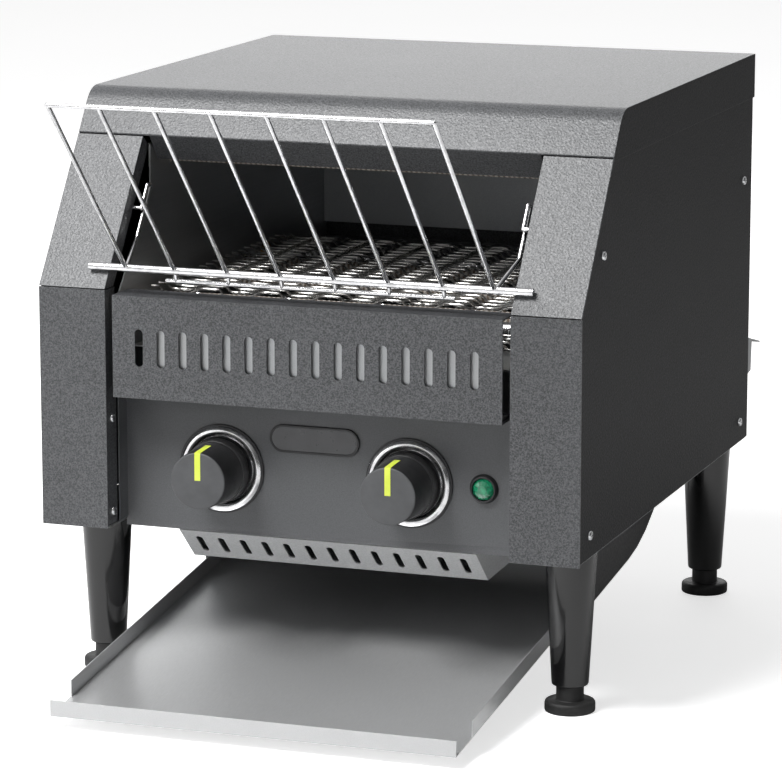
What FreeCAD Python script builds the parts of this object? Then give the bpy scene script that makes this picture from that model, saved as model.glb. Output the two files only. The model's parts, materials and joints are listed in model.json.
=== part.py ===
"""Conveyor toaster, 368 mm wide, 418 mm deep in the body and 387 mm high.

Frame: Z up from the floor, X to the right, Y from the front to the back. Every Y in the
code is counted from the front face of the columns; each piece is then moved forward by
origin_back, so that the origin is the middle of the whole footprint, on the floor.
"""
import FreeCAD, Part
import math
import os
import re

import Sketcher
from FreeCAD import Vector

doc = FreeCAD.newDocument("conveyor_toaster")
sizes = doc.addObject("Spreadsheet::Sheet", "Sizes")

# Driving dimensions, in millimetres and degrees
DIMENSIONS = [
    ("body_width", 368.0),
    ("body_depth", 418.0),
    ("body_height", 387.0),
    ("base_height", 108.3),
    ("column_top", 266.8),
    ("hood_edge_back", 66.7),
    ("hood_edge_height", 359.2),
    ("hood_fold_radius", 20.0),
    ("hood_skirt", 31.0),
    ("gauge", 1.0),
    ("seat_gap", 0.3),
    ("window_width", 275.0),
    ("column_return", 16.0),
    ("header_rise", 17.0),
    ("header_run", 13.5),
    ("vent_bottom", 196.4),
    ("vent_top", 263.4),
    ("vent_width", 265.0),
    ("slot_width", 5.5),
    ("slot_length", 24.5),
    ("slot_height", 229.7),
    ("slot_pitch", 15.2),
    ("slot_count", 16.0),
    ("panel_recess", 30.0),
    ("panel_bottom", 104.6),
    ("dial_height", 147.6),
    ("dial_middle", -4.2),
    ("dial_half_spacing", 64.8),
    ("dial_ring_radius", 29.5),
    ("dial_ring_hole", 21.5),
    ("knob_radius", 21.0),
    ("knob_face_radius", 18.7),
    ("knob_length", 40.0),
    ("spindle_radius", 3.0),
    ("spindle_length", 30.0),
    ("pointer_width", 4.0),
    ("lamp_side", 111.0),
    ("lamp_radius", 9.8),
    ("badge_length", 62.0),
    ("badge_height", 18.5),
    ("badge_middle", 170.8),
    ("lower_vent_half", 103.0),
    ("lower_vent_front_room", 8.0),
    ("lower_vent_knee", 63.5),
    ("lower_vent_back", 108.0),
    ("lower_vent_drop", 79.0),
    ("lower_slot_count", 13.0),
    ("lower_slot_pitch", 15.3),
    ("oven_width", 272.0),
    ("oven_front", 14.0),
    ("oven_rear_room", 18.0),
    ("belt_top", 262.5),
    ("belt_front", 50.0),
    ("belt_length", 226.0),
    ("belt_radius", 15.0),
    ("belt_thickness", 2.4),
    ("belt_width", 256.0),
    ("belt_rows", 14.0),
    ("belt_columns", 6.0),
    ("shaft_radius", 5.0),
    ("sprocket_room", 0.5),
    ("heater_radius", 4.5),
    ("upper_heater_height", 341.0),
    ("heater_spacing", 75.0),
    ("ceiling_height", 352.0),
    ("chain_side", 152.0),
    ("chain_wheel_radius", 20.0),
    ("motor_wheel_radius", 14.0),
    ("motor_rear_room", 93.0),
    ("motor_height", 168.0),
    ("tray_half", 136.0),
    ("tray_front", 98.0),
    ("tray_flange_start", 66.0),
    ("tray_end_room", 16.0),
    ("tray_floor_front", 8.2),
    ("tray_slope", 6.8),
    ("tray_edge", 11.5),
    ("tray_gauge", 0.8),
    ("chute_half", 140.0),
    ("chute_start", 172.0),
    ("chute_bend_reach", 134.0),
    ("chute_rear_room", 22.0),
    ("terminal_rear_room", 118.0),
    ("leg_side", 162.0),
    ("leg_front", 54.0),
    ("leg_back_inset", 34.0),
    ("leg_top_radius", 17.0),
    ("leg_foot_radius", 12.0),
    ("leg_bottom", 17.5),
    ("foot_neck_radius", 9.0),
    ("foot_radius", 16.5),
    ("foot_height", 7.5),
    ("foot_stem_radius", 4.0),
    ("rack_half", 125.0),
    ("rack_wire_radius", 1.5),
    ("rack_bar_radius", 2.6),
    ("rack_bar_half", 150.5),
    ("rack_bar_height", 280.6),
    ("rack_top_forward", 110.0),
    ("rack_top_height", 400.0),
    ("rack_spacing", 36.4),
    ("rack_guide_half", 98.0),
    ("rack_guide_back", 9.5),
    ("rack_guide_height", 273.4),
    ("rack_hook_back", 46.0),
    ("rack_hook_height", 313.5),
    ("spacer_reach", 36.0),
    ("spacer_height", 180.0),
    ("spacer_side", 150.0),
    ("skin", 1.2),
    ("bolt_radius", 4.0),
    ("bolt_length", 16.0),
    ("stem_length", 30.0),
    ("switch_size", 38.0),
    ("gear_size", 60.0),
    ("gear_shaft_radius", 4.0),
    ("motor_core", 48.0),
]


for index, (alias, value) in enumerate(DIMENSIONS):
    row = index + 1
    sizes.set(f"A{row}", alias)
    sizes.set(f"B{row}", repr(value))
    sizes.setAlias(f"B{row}", alias)
# Places that follow from those sizes. The footprint runs from the front wire of the feed
# rack to the lip of the rear spacers, and its middle is the origin.
PLACES = [
    ("sprocket_radius", "belt_radius - belt_thickness - sprocket_room"),
    ("lower_vent_front", "panel_recess + lower_vent_front_room"),
    ("oven_back", "body_depth - oven_rear_room"),
    ("motor_back", "body_depth - motor_rear_room"),
    ("chute_back", "body_depth - chute_rear_room"),
    ("chute_bend_start", "chute_back - chute_bend_reach"),
    ("tray_back", "chute_bend_start - tray_end_room"),
    ("origin_back", "(body_depth + spacer_reach - rack_top_forward - rack_wire_radius) / 2"),
]
for index, (alias, formula) in enumerate(PLACES):
    row = len(DIMENSIONS) + 1 + index
    sizes.set(f"A{row}", alias)
    sizes.set(f"B{row}", "=" + formula)
    sizes.setAlias(f"B{row}", alias)
doc.recompute()

ALIASES = [alias for alias, content in DIMENSIONS + PLACES]
WORD = re.compile(r"\b(" + "|".join(sorted(ALIASES, key=len, reverse=True)) + r")\b")
PARTS = {}


def get(alias):
    """One driving dimension as a number."""
    return float(sizes.get(alias))


def bound(text):
    """A formula with each size name pointed at its cell."""
    return WORD.sub(lambda match: "Sizes." + match.group(1), str(text))


def bind(piece, prop, text):
    """Ties a property of a piece to a formula of the sheet."""
    piece.setExpression(prop, bound(text))


def place(piece, where):
    """Sets a piece down at formulas for X, Y and Z, Y counted from the column fronts."""
    x, y, z = where
    bind(piece, "Placement.Base.x", x)
    bind(piece, "Placement.Base.y", f"({y}) - origin_back")
    bind(piece, "Placement.Base.z", z)


def keep(label, piece):
    """Names a finished sub-part, which then goes to its own file."""
    piece.Label = label
    PARTS[label] = piece
    return piece


def block(name, size, corner):
    """A box given by three formulas and its lowest corner."""
    piece = doc.addObject("Part::Box", name)
    for prop, text in zip(("Length", "Width", "Height"), size):
        bind(piece, prop, text)
    place(piece, corner)
    return piece


TURNS = {
    "x": FreeCAD.Rotation(Vector(0, 1, 0), 90),
    "y": FreeCAD.Rotation(Vector(1, 0, 0), -90),
    "z": FreeCAD.Rotation(),
}


def rod(name, radius, length, start, axis="z"):
    """A cylinder from its start point along +X, +Y or +Z."""
    piece = doc.addObject("Part::Cylinder", name)
    bind(piece, "Radius", radius)
    bind(piece, "Height", length)
    piece.Placement = FreeCAD.Placement(Vector(), TURNS[axis])
    place(piece, start)
    return piece


def cone(name, radius_low, radius_high, length, start, axis="z"):
    """A tapered round from its start point along an axis."""
    piece = doc.addObject("Part::Cone", name)
    bind(piece, "Radius1", radius_low)
    bind(piece, "Radius2", radius_high)
    bind(piece, "Height", length)
    piece.Placement = FreeCAD.Placement(Vector(), TURNS[axis])
    place(piece, start)
    return piece


def fuse(name, pieces):
    """One solid out of several touching ones."""
    piece = doc.addObject("Part::MultiFuse", name)
    piece.Shapes = pieces
    piece.Refine = True
    return piece


def cut(name, base, tools):
    """A base with one or more tools taken out of it."""
    tool = tools[0]
    if len(tools) > 1:
        tool = doc.addObject("Part::Compound", name + "_cuts")
        tool.Links = tools
    piece = doc.addObject("Part::Cut", name)
    piece.Base = base
    piece.Tool = tool
    return piece


def group(name, pieces):
    """Several separate solids in one sub-part."""
    piece = doc.addObject("Part::Compound", name)
    piece.Links = pieces
    return piece


def plate(name, plane, outline, thickness, where):
    """A body with one straight sided outline, padded by its thickness.

    The outline is a list of pairs of formulas in the sketch plane: XY_Plane, XZ_Plane or
    YZ_Plane. Every corner is held by two distances from the origin.
    """
    body = doc.addObject("PartDesign::Body", name)
    sketch = body.newObject("Sketcher::SketchObject", name + "_outline")
    support = [item for item in body.Origin.OriginFeatures if item.Role == plane][0]
    sketch.AttachmentSupport = [(support, "")]
    sketch.MapMode = "FlatFace"
    count = len(outline)
    turn = 2 * math.pi / count
    rough = [(100 * math.cos(turn * index), 100 * math.sin(turn * index)) for index in range(count)]
    for index in range(count):
        start = Vector(*rough[index], 0)
        end = Vector(*rough[(index + 1) % count], 0)
        sketch.addGeometry(Part.LineSegment(start, end), False)
    for index in range(count):
        following = (index + 1) % count
        sketch.addConstraint(Sketcher.Constraint("Coincident", index, 2, following, 1))
    for index, (across, up) in enumerate(outline):
        for kind, text, number in (("DistanceX", across, rough[index][0]),
                                   ("DistanceY", up, rough[index][1])):
            if text == "0":
                axis = -2 if kind == "DistanceX" else -1
                sketch.addConstraint(Sketcher.Constraint("PointOnObject", index, 1, axis))
                continue
            item = sketch.addConstraint(Sketcher.Constraint(kind, -1, 1, index, 1, number))
            sketch.setExpression(f"Constraints[{item}]", bound(text))
    pad = body.newObject("PartDesign::Pad", name + "_pad")
    pad.Profile = sketch
    bind(pad, "Length", thickness)
    sketch.Visibility = False
    place(body, where)
    return body


def shaped(name, shape):
    """A piece whose bent or swept shape is worked out from the sheet in this file."""
    piece = doc.addObject("Part::Feature", name)
    piece.Shape = shape
    place(piece, ("0", "0", "0"))
    return piece


def offset_path(points, distance):
    """The same open path moved to its left by a distance, with sharp corners."""
    moved = []
    for index, point in enumerate(points):
        normals = []
        for first, second in ((index - 1, index), (index, index + 1)):
            if first < 0 or second >= len(points):
                continue
            step = points[second] - points[first]
            step.normalize()
            normals.append(Vector(-step.y, step.x, 0))
        mean = normals[0] + normals[-1]
        mean.normalize()
        moved.append(point + mean * (distance / mean.dot(normals[0])))
    return moved


def bent_sheet(points, gauge, start, width, axis="x"):
    """A bent sheet: a path of (a, b) points thickened to its left and drawn along an axis.

    Along x the path lies in (Y, Z), along z it lies in (X, Y).
    """
    path = [Vector(a, b, 0) for a, b in points]
    around = path + offset_path(path, gauge)[::-1]
    if axis == "x":
        corners = [Vector(start, p.x, p.y) for p in around]
        travel = Vector(width, 0, 0)
    else:
        corners = [Vector(p.x, p.y, start) for p in around]
        travel = Vector(0, 0, width)
    face = Part.Face(Part.makePolygon(corners + corners[:1]))
    return face.extrude(travel)


def slab(corners, travel):
    """A flat plate: a polygon of 3-D corners drawn along a vector."""
    return Part.Face(Part.makePolygon(corners + corners[:1])).extrude(travel)


def box(x0, x1, y0, y1, z0, z1):
    """A plain box between two corners."""
    return Part.makeBox(x1 - x0, y1 - y0, z1 - z0, Vector(x0, y0, z0))


def bar(start, end, radius):
    """A round bar between two points."""
    return Part.makeCylinder(radius, (end - start).Length, start, end - start)


def bent_wire(points, radius):
    """A round wire through points, with a ball at each bend so the runs join."""
    pieces = [bar(a, b, radius) for a, b in zip(points, points[1:])]
    pieces += [Part.makeSphere(radius, point) for point in points[1:-1]]
    return pieces


def merged(pieces):
    """Several touching shapes as one solid."""
    whole = pieces[0].multiFuse(pieces[1:]).removeSplitter()
    return whole.Solids[0] if len(whole.Solids) == 1 else whole


def pill(length, width, depth, middle):
    """A slot cutter: upright obround, drawn along Y through its middle."""
    half = length / 2 - width / 2
    x, y, z = middle
    ends = [Part.makeCylinder(width / 2, depth, Vector(x, y - depth / 2, z + side * half),
                              Vector(0, 1, 0)) for side in (-1, 1)]
    return merged([box(x - width / 2, x + width / 2, y - depth / 2, y + depth / 2,
                       z - half, z + half)] + ends)


def screw(head_at, direction, head_radius=3.2, head_height=1.8, stem_radius=1.5, stem_length=5.0):
    """A pan head screw whose head sits on a face, its stem going in along a direction."""
    inward = Vector(*direction)
    at = Vector(*head_at)
    head = Part.makeCylinder(head_radius, head_height, at - inward * head_height, inward)
    rim = [edge for edge in head.Edges if edge.Closed
           and (edge.CenterOfMass - (at - inward * head_height)).Length < 0.01]
    head = head.makeFillet(head_height * 0.55, rim)
    return merged([head, Part.makeCylinder(stem_radius, stem_length, at, inward)])


def hole(at, direction, radius=1.8, length=12.0):
    """A round cutter for a screw, centred on its seat."""
    along = Vector(*direction)
    return Part.makeCylinder(radius, length, Vector(*at) - along * (length / 2), along)


# Sizes used by the bent and swept pieces
width = get("body_width")
depth = get("body_depth")
height = get("body_height")
base = get("base_height")
gauge = get("gauge")
gap = get("seat_gap")
half = width / 2
inside = half - gauge
column_top = get("column_top")
edge_back = get("hood_edge_back")
edge_height = get("hood_edge_height")
slope = Vector(0, edge_back, edge_height - column_top)
slope.normalize()
out = Vector(0, -slope.z, slope.y)
fold_back = edge_back + (height - edge_height) * slope.y / slope.z
window = get("window_width") / 2
oven = get("oven_width") / 2
oven_front = get("oven_front")
oven_back = get("oven_back")


def body_outline(inset):
    """The side outline of the casing in (Y, Z), drawn in by an inset."""
    shift = inset * (1 - slope.y) / slope.z
    fold = fold_back + inset * (1 - slope.y) / slope.z
    fold_run = get("hood_fold_radius") * math.tan(math.atan2(slope.z, slope.y) / 2)
    return [(inset, base + inset), (inset, column_top - shift),
            (fold - fold_run * slope.y, height - inset - fold_run * slope.z),
            (fold + fold_run, height - inset),
            (depth - inset, height - inset), (depth - inset, base + inset)]


# Casing
side_screws = [(y, z) for y in (24, depth - 24) for z in (base + 16, edge_height - 60)]
screw_heads = []
COLUMN_SCREWS = ("dial_height - 29", "dial_height + 33")
for side, name in ((-1, "left"), (1, "right")):
    outline = [Vector(side * inside, y, z) for y, z in body_outline(gauge + gap)]
    shape = slab(outline, Vector(-side * gauge, 0, 0))
    for y, z in side_screws:
        y = max(y, 24 + max(0, z - column_top) * slope.y / slope.z)
        shape = shape.cut(hole((side * inside, y, z), (1, 0, 0)))
    keep(f"side_panel_{name}", shaped(f"side_panel_{name}", shape))
for side in (-1, 1):
    for y, z in side_screws:
        y = max(y, 24 + max(0, z - column_top) * slope.y / slope.z)
        screw_heads.append(screw((side * inside, y, z), (-side, 0, 0)))

# Hood: top sheet with the sloped front edge, side skirts and a rear flange
def hood_solid(inset):
    """The space under the hood, drawn in from the top and the slope by an inset."""
    foot = Vector(0, edge_back, edge_height) - out * inset
    cross = fold_back + (inset / slope.z) - inset * slope.y / slope.z
    skirt = height - get("hood_skirt")
    back = depth - inset
    start = half - inset
    hem = 1.0
    corners = [(foot.y, foot.z), (cross, height - inset), (back, height - inset), (back, skirt),
               (foot.y + hem, skirt)]
    if inset:
        below = 8.0
        foot = foot - slope * below
        corners = [(foot.y, foot.z), (cross, height - inset), (back, height - inset), (back, foot.z)]
    shape = slab([Vector(-start, y, z) for y, z in corners], Vector(2 * start, 0, 0))
    fold = [edge for edge in shape.Edges
            if abs(edge.CenterOfMass.y - cross) < 0.05 and abs(edge.CenterOfMass.z - height + inset) < 0.05
            and edge.Length > width / 2]
    return shape.makeFillet(get("hood_fold_radius") - inset, fold)


hood = hood_solid(0).cut(hood_solid(gauge))
keep("top_hood", shaped("top_hood", hood.removeSplitter()))

# Rear panel with its air slots and the hole of the cable gland
rear_face = depth - gauge - gap
rear_inner = rear_face - gauge
gland_at = (half - 62, base + 34)
wall_half = inside - gauge - gap
rear = box(-wall_half, wall_half, rear_inner, rear_face, base + 1.5, height - gauge - gap)
vent_rows = [pill(34, 5, 6, (x * 14.0, rear_face, 300)) for x in range(-8, 9)]
gland_hole = Part.makeCylinder(8.2, 6, Vector(gland_at[0], rear_face - 3, gland_at[1]), Vector(0, 1, 0))
rear_screws = [(sx * (wall_half - 12), z) for sx in (-1, 1) for z in (base + 20, 230, 340)]
rear_cuts = [hole((x, rear_face, z), (0, 1, 0), 1.8, 6) for x, z in rear_screws]
rear = rear.cut(Part.makeCompound(vent_rows)).cut(gland_hole).cut(Part.makeCompound(rear_cuts))
keep("rear_panel", shaped("rear_panel", rear))
screw_heads += [screw((x, rear_face, z), (0, -1, 0)) for x, z in rear_screws]
column_heights = [get("dial_height") + step for step in (-29, 33)]
screw_heads += [screw((side * window, 9, z), (side, 0, 0)) for side in (-1, 1) for z in column_heights]
keep("casing_screws", shaped("casing_screws", Part.makeCompound(screw_heads)))

# Spacers that hold the casing off the wall: a shallow box under a sloping roof
spacers = []
spacer_wide = 30.0
spacer_box = 14.0
for side in (-1, 1):
    left_edge = side * get("spacer_side") - spacer_wide / 2 + side * 17
    top = get("spacer_height") + 2
    far = depth + get("spacer_reach")
    roof = bent_sheet([(rear_face + 0.3, top), (far, top - 9.0)], -gauge, left_edge, spacer_wide)
    cheek_line = [(rear_face, top), (rear_face + spacer_box, top - 3.6),
                  (rear_face + spacer_box - 2, top - 26),
                  (rear_face, top - 28)]
    cheeks = [slab([Vector(x, y, z) for y, z in cheek_line], Vector(gauge, 0, 0))
              for x in (left_edge, left_edge + spacer_wide - gauge)]
    floor = box(left_edge, left_edge + spacer_wide, rear_face, rear_face + spacer_box - 2.5, top - 26.5,
                top - 25.5)
    spacers.append(merged([roof] + cheeks + [floor]))
keep("rear_spacers", shaped("rear_spacers", Part.makeCompound(spacers)))

# Base tray of the casing, open in the middle for the toast to fall through
leg_front = get("leg_front")
leg_back = depth - get("leg_back_inset")
leg_side = get("leg_side")
leg_places = [("front_left", -leg_side, leg_front), ("front_right", leg_side, leg_front),
              ("rear_left", -leg_side, leg_back), ("rear_right", leg_side, leg_back)]
opening_front = "lower_vent_back + 12"
side_room = "gauge * 2 + seat_gap"
floor_sheet = block("floor_sheet",
                    (f"body_width - 2 * ({side_room})", "body_depth - 1.5 - 2 * gauge - gauge - seat_gap",
                                    "skin"), (f"-body_width / 2 + {side_room}", "1.5 + gauge",
                                              "base_height"))
floor_openings = [
    block("drop_opening", ("oven_width - 2 * gauge - 0.2", f"oven_back - 2 - ({opening_front})", "4"),
          ("-oven_width / 2 + gauge + 0.1", opening_front, "base_height - 1")),
    block("panel_opening", ("window_width", "panel_recess + gauge + seat_gap + 5", "4"),
          ("-window_width / 2", "-5", "base_height - 1")),
    block("vent_opening", ("2 * lower_vent_half + 2", "lower_vent_back - 4 + 5", "4"),
          ("-lower_vent_half - 1", "-5", "base_height - 1")),
]
LEG_FORMULAS = {
    "front_left": ("-leg_side", "leg_front"),
    "front_right": ("leg_side", "leg_front"),
    "rear_left": ("-leg_side", "body_depth - leg_back_inset"),
    "rear_right": ("leg_side", "body_depth - leg_back_inset"),
}
for name, (x, y) in LEG_FORMULAS.items():
    floor_openings.append(rod(f"bolt_hole_{name}", "bolt_radius + 0.2", "12", (x, y, "base_height - 6")))
keep("base_plate", cut("base_plate", floor_sheet, floor_openings))

# Front columns, open channels, and the sloped plates above them
seam = 0.6
for side, name in ((-1, "left"), (1, "right")):
    face_start = "window_width / 2" if side > 0 else "-body_width / 2"
    leg_start = "window_width / 2" if side > 0 else "-window_width / 2 - skin"
    face = block(f"post_face_{name}",
                 ("(body_width - window_width) / 2", "skin", f"column_top - {seam} - base_height"),
                 (face_start, "0", "base_height"))
    inner_leg = block(f"post_leg_{name}",
                      ("skin", "column_return", f"column_top - {seam} - base_height - 1.5"),
                      (leg_start, "0", "base_height + 1.5"))
    post = fuse(f"post_{name}", [face, inner_leg])
    holes = [rod(f"post_hole_{name}_{index}", "1.8", "12", (leg_start + " - 5", "9", height_text), "x")
             for index, height_text in enumerate(COLUMN_SCREWS)]
    keep(f"front_post_{name}", cut(f"front_post_{name}", post, holes))
    low = Vector(0, 0, column_top)
    high = Vector(0, edge_back, edge_height) - slope * 1.4
    x_in = side * window
    face_plate = slab([low + Vector(x_in, 0, 0), high + Vector(x_in, 0, 0),
                       high + Vector(x_in, 0, 0) - out * 1.2, low + Vector(x_in, 1.48, 0)],
                      Vector(side * (half - window), 0, 0))
    flange_deep = 12.0
    flange = slab([low + Vector(x_in, 1.48, 0), high + Vector(x_in, 0, 0) - out * 1.2,
                   high + Vector(x_in, 0, 0) - out * flange_deep,
                   low + Vector(x_in, flange_deep * 1.22, 0)], Vector(side * 1.2, 0, 0))
    keep(f"slope_plate_{name}", shaped(f"slope_plate_{name}", merged([face_plate, flange])))

# Header over the feed window: a lip that leans in from the hood edge
header_top = (edge_back + 2.6, edge_height - 1.2)
header_low = (header_top[0] + get("header_run"), header_top[1] - get("header_rise"))
header_half = oven - gauge - gap
header = bent_sheet([(header_top[0] + 8, header_top[1] + 9.5), header_top, header_low,
                     (header_low[0] + 7, header_low[1] + 0.6)], gauge, -header_half, 2 * header_half)
keep("window_header", shaped("window_header", header))

# Upper vent panel with its row of slots, and the light baffle sheet behind it
vent_half = get("vent_width") / 2
vent_low = get("vent_bottom")
vent_high = get("vent_top")
recess = get("panel_recess")
vent = bent_sheet([(recess + gauge, vent_low), (0.0, vent_low), (0.0, vent_high),
                   (oven_front + 12, vent_high)],
                  -gauge, -vent_half, 2 * vent_half)
slots = []
slot_total = int(get("slot_count"))
for index in range(slot_total):
    x = (index - (slot_total - 1) / 2) * get("slot_pitch")
    slots.append(pill(get("slot_length"), get("slot_width"), 6, (x, 0.5, get("slot_height"))))
vent = vent.cut(Part.makeCompound(slots))
keep("vent_panel", shaped("vent_panel", vent))
baffle_start = "8 - (slot_count - 1) / 2 * slot_pitch"
baffle_width = f"vent_width / 2 - 3 - ({baffle_start})"
baffle = fuse("vent_baffle", [
    block("baffle_sheet", (baffle_width, "gauge", "vent_top - 4 - vent_bottom - gauge"),
          (baffle_start, "2.6", "vent_bottom + gauge")),
    block("baffle_foot", (baffle_width, "18", "gauge"), (baffle_start, "2.6", "vent_bottom + gauge")),
])
keep("vent_baffle", baffle)

# Control panel, set back, with the holes of its dials, lamp and plate
panel_low = get("panel_bottom")
panel_half = "(window_width / 2 - 0.4)"
panel_top = "(vent_bottom - seat_gap)"
sheets = [
    block("panel_face", (f"2 * {panel_half}", "gauge", f"{panel_top} - panel_bottom"),
          (f"-{panel_half}", "panel_recess", "panel_bottom")),
    block("panel_fold", (f"2 * {panel_half}", "7", "gauge"),
          (f"-{panel_half}", "panel_recess", "panel_bottom")),
]
for side, start in (("left", f"-{panel_half}"), ("right", f"{panel_half} - gauge")):
    sheets.append(block(f"panel_cheek_{side}",
                        ("gauge", "panel_recess - 17 + gauge", f"{panel_top} - panel_bottom - 6"),
                        (start, "17", "panel_bottom + 6")))
dial_height = get("dial_height")
DIALS = {
    "left": "dial_middle - dial_half_spacing",
    "right": "dial_middle + dial_half_spacing",
}
dials = [("left", get("dial_middle") - get("dial_half_spacing")),
         ("right", get("dial_middle") + get("dial_half_spacing"))]
panel_holes = [rod(f"dial_hole_{name}", "5.2", "10", (x, "panel_recess - 5", "dial_height"), "y")
               for name, x in DIALS.items()]
panel_holes.append(rod("lamp_hole", "6.2", "10", ("lamp_side", "panel_recess - 5", "dial_height"), "y"))
keep("control_panel", cut("control_panel", fuse("panel_sheets", sheets), panel_holes))

# Dial rings: a black back ring with a bevelled bright ring on it
dial_backs = []
for name, x in dials:
    toward = Vector(0, -1, 0)
    middle = DIALS[name]
    back_ring = cut(f"back_ring_{name}", rod(f"back_disc_{name}", "dial_ring_radius", "1.6",
                                             (middle, "panel_recess - 1.6", "dial_height"), "y"),
                    [rod(f"back_bore_{name}", "dial_ring_hole - 2", "9",
                         (middle, "panel_recess - 5", "dial_height"), "y")])
    dial_backs.append(back_ring)
    bevel = cone(f"ring_bevel_{name}", "dial_ring_radius - 3.4", "dial_ring_radius - 1.2", "2.6",
                 (middle, "panel_recess - 4.2", "dial_height"), "y")
    keep(f"dial_ring_{name}", cut(f"dial_ring_{name}", bevel,
                                  [rod(f"ring_bore_{name}", "dial_ring_hole", "12",
                                       (middle, "panel_recess - 9", "dial_height"), "y")]))
    spindle = rod(f"spindle_{name}_rod", "spindle_radius", "spindle_length",
                  (middle, "panel_recess - spindle_length + 12", "dial_height"), "y")
    keep(f"dial_spindle_{name}", spindle)
    knob_back = recess - 5.0
    knob_face = knob_back - get("knob_length") + 3.0
    radius = get("knob_radius")
    skirt = Part.makeCylinder(radius, 9, Vector(x, knob_back, dial_height), toward)
    grip = Part.makeCone(radius - 0.8, get("knob_face_radius"), knob_back - 9 - knob_face,
                         Vector(x, knob_back - 9, dial_height), toward)
    knob = merged([skirt, grip])
    face_rim = [edge for edge in knob.Edges if abs(edge.CenterOfMass.y - knob_face) < 0.05 and edge.Closed]
    knob = knob.makeFillet(1.2, face_rim)
    knob = knob.cut(Part.makeCylinder(get("spindle_radius") + 0.08,
                                      knob_back - recess + get("spindle_length") - 12 + 0.01,
                                      Vector(x, knob_back, dial_height), toward))
    knob = knob.cut(Part.makeCylinder(radius - 4, 4, Vector(x, knob_back, dial_height), toward).cut(
        Part.makeCylinder(8, 4, Vector(x, knob_back, dial_height), toward)))
    mark_half = get("pointer_width") / 2
    groove = box(x - mark_half - 0.05, x + mark_half + 0.05, knob_face - 1, knob_face + 1.0, dial_height,
                 dial_height + 30)
    side_groove = box(x - mark_half - 0.05, x + mark_half + 0.05, knob_face - 1, knob_face + 19,
                      dial_height + radius - 3.2, dial_height + 30)
    groove = groove.fuse(side_groove)
    knob = knob.cut(groove)
    keep(f"knob_{name}", shaped(f"knob_{name}", knob))
    face_bar = box(x - mark_half, x + mark_half, knob_face - 0.1, knob_face + 0.95, dial_height + 0.05,
                   dial_height + get("knob_face_radius") - 0.2)
    side_bar = box(x - mark_half, x + mark_half, knob_face + 0.2, knob_face + 18.8,
                   dial_height + radius - 3.15, dial_height + get("knob_face_radius") - 0.2)
    keep(f"knob_pointer_{name}", shaped(f"knob_pointer_{name}", merged([face_bar, side_bar])))

keep("dial_backs", group("dial_backs", dial_backs))

# Switch bodies behind the panel
for name, middle in DIALS.items():
    label = "speed_control" if name == "left" else "heat_selector"
    case = block(f"switch_case_{name}", ("switch_size", "32 - gauge", "switch_size"),
                 (f"{middle} - switch_size / 2", "panel_recess + gauge", "dial_height - switch_size / 2"))
    tabs = [block(f"switch_tab_{name}_{index}", ("4.8", "8", "0.8"),
                  (f"{middle} + {8 * index - 12} - 2.4", "panel_recess + 32", "dial_height - 9"))
            for index in range(4)]
    bore = rod(f"switch_bore_{name}", "spindle_radius + 0.3", "12.2",
               (middle, "panel_recess", "dial_height"), "y")
    keep(label, cut(label, fuse(f"switch_body_{name}", [case] + tabs), [bore]))

# Pilot lamp: black bezel with its body through the panel, and a faceted lens
lamp_x = get("lamp_side")
lamp_at = Vector(lamp_x, recess, dial_height)
toward = Vector(0, -1, 0)
bezel = Part.makeCone(get("lamp_radius"), get("lamp_radius") - 1.6, 3.2, lamp_at, toward)
bezel = bezel.fuse(Part.makeCylinder(6.0, 22, lamp_at, Vector(0, 1, 0)))
bezel = bezel.cut(Part.makeCylinder(7.3, 3.3, lamp_at + toward * 0.8, toward)).removeSplitter()
keep("lamp_bezel", shaped("lamp_bezel", bezel.Solids[0]))
lens = Part.makeCone(7.2, 4.4, 3.4, lamp_at + toward * 2.0, toward).fuse(
    Part.makeCylinder(7.2, 1.2, lamp_at + toward * 0.8, toward)).removeSplitter()
keep("lamp_lens", shaped("lamp_lens", lens.Solids[0]))

# Blank badge plate, a long rounded plate
badge_run = "(badge_length - badge_height)"
badge = [block("badge_bar", (badge_run, "1.6", "badge_height"),
               (f"dial_middle - {badge_run} / 2", "panel_recess - 1.6", "badge_middle - badge_height / 2"))]
for sign in ("-", "+"):
    badge.append(rod(f"badge_end_{len(badge)}", "badge_height / 2", "1.6",
                     (f"dial_middle {sign} {badge_run} / 2", "panel_recess - 1.6", "badge_middle"), "y"))
keep("badge_plate", fuse("badge_plate", badge))

# Lower vent cover: sloped slotted face, floor and end plates
lower_half = get("lower_vent_half")
knee = get("lower_vent_knee")
drop = get("lower_vent_drop")
lower_back = get("lower_vent_back")
lower_front = get("lower_vent_front")
lower_top = panel_low - 2.6
cover_path = [(lower_back, base - gap), (lower_back, drop + 1.5), (knee, drop), (lower_front, lower_top)]
lower = bent_sheet(cover_path, -gauge, -lower_half, 2 * lower_half)
cheek = [Vector(0, y, z) for y, z in ((lower_back, base - gap), (lower_back, drop + 1.5), (knee, drop),
                                      (lower_front, lower_top), (lower_front + 3, base - gap))]
for x in (-lower_half, lower_half - gauge):
    lower = lower.fuse(slab([corner + Vector(x, 0, 0) for corner in cheek], Vector(gauge, 0, 0)))
lean = math.atan2(lower_top - drop, lower_front - knee)
face_length = math.hypot(lower_top - drop, knee - lower_front)
lower_total = int(get("lower_slot_count"))
lower_slots = []
for index in range(lower_total):
    x = (index - (lower_total - 1) / 2) * get("lower_slot_pitch")
    slot = pill(face_length * 0.56, 4.6, 8, (0, 0, 0))
    slot.rotate(Vector(), Vector(1, 0, 0), math.degrees(math.atan2(knee - lower_front, lower_top - drop)))
    slot.translate(Vector(x, (knee + lower_front) / 2, (drop + lower_top) / 2))
    lower_slots.append(slot)
lower = lower.cut(Part.makeCompound(lower_slots)).removeSplitter()
keep("lower_vent", shaped("lower_vent", lower.Solids[0]))

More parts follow.
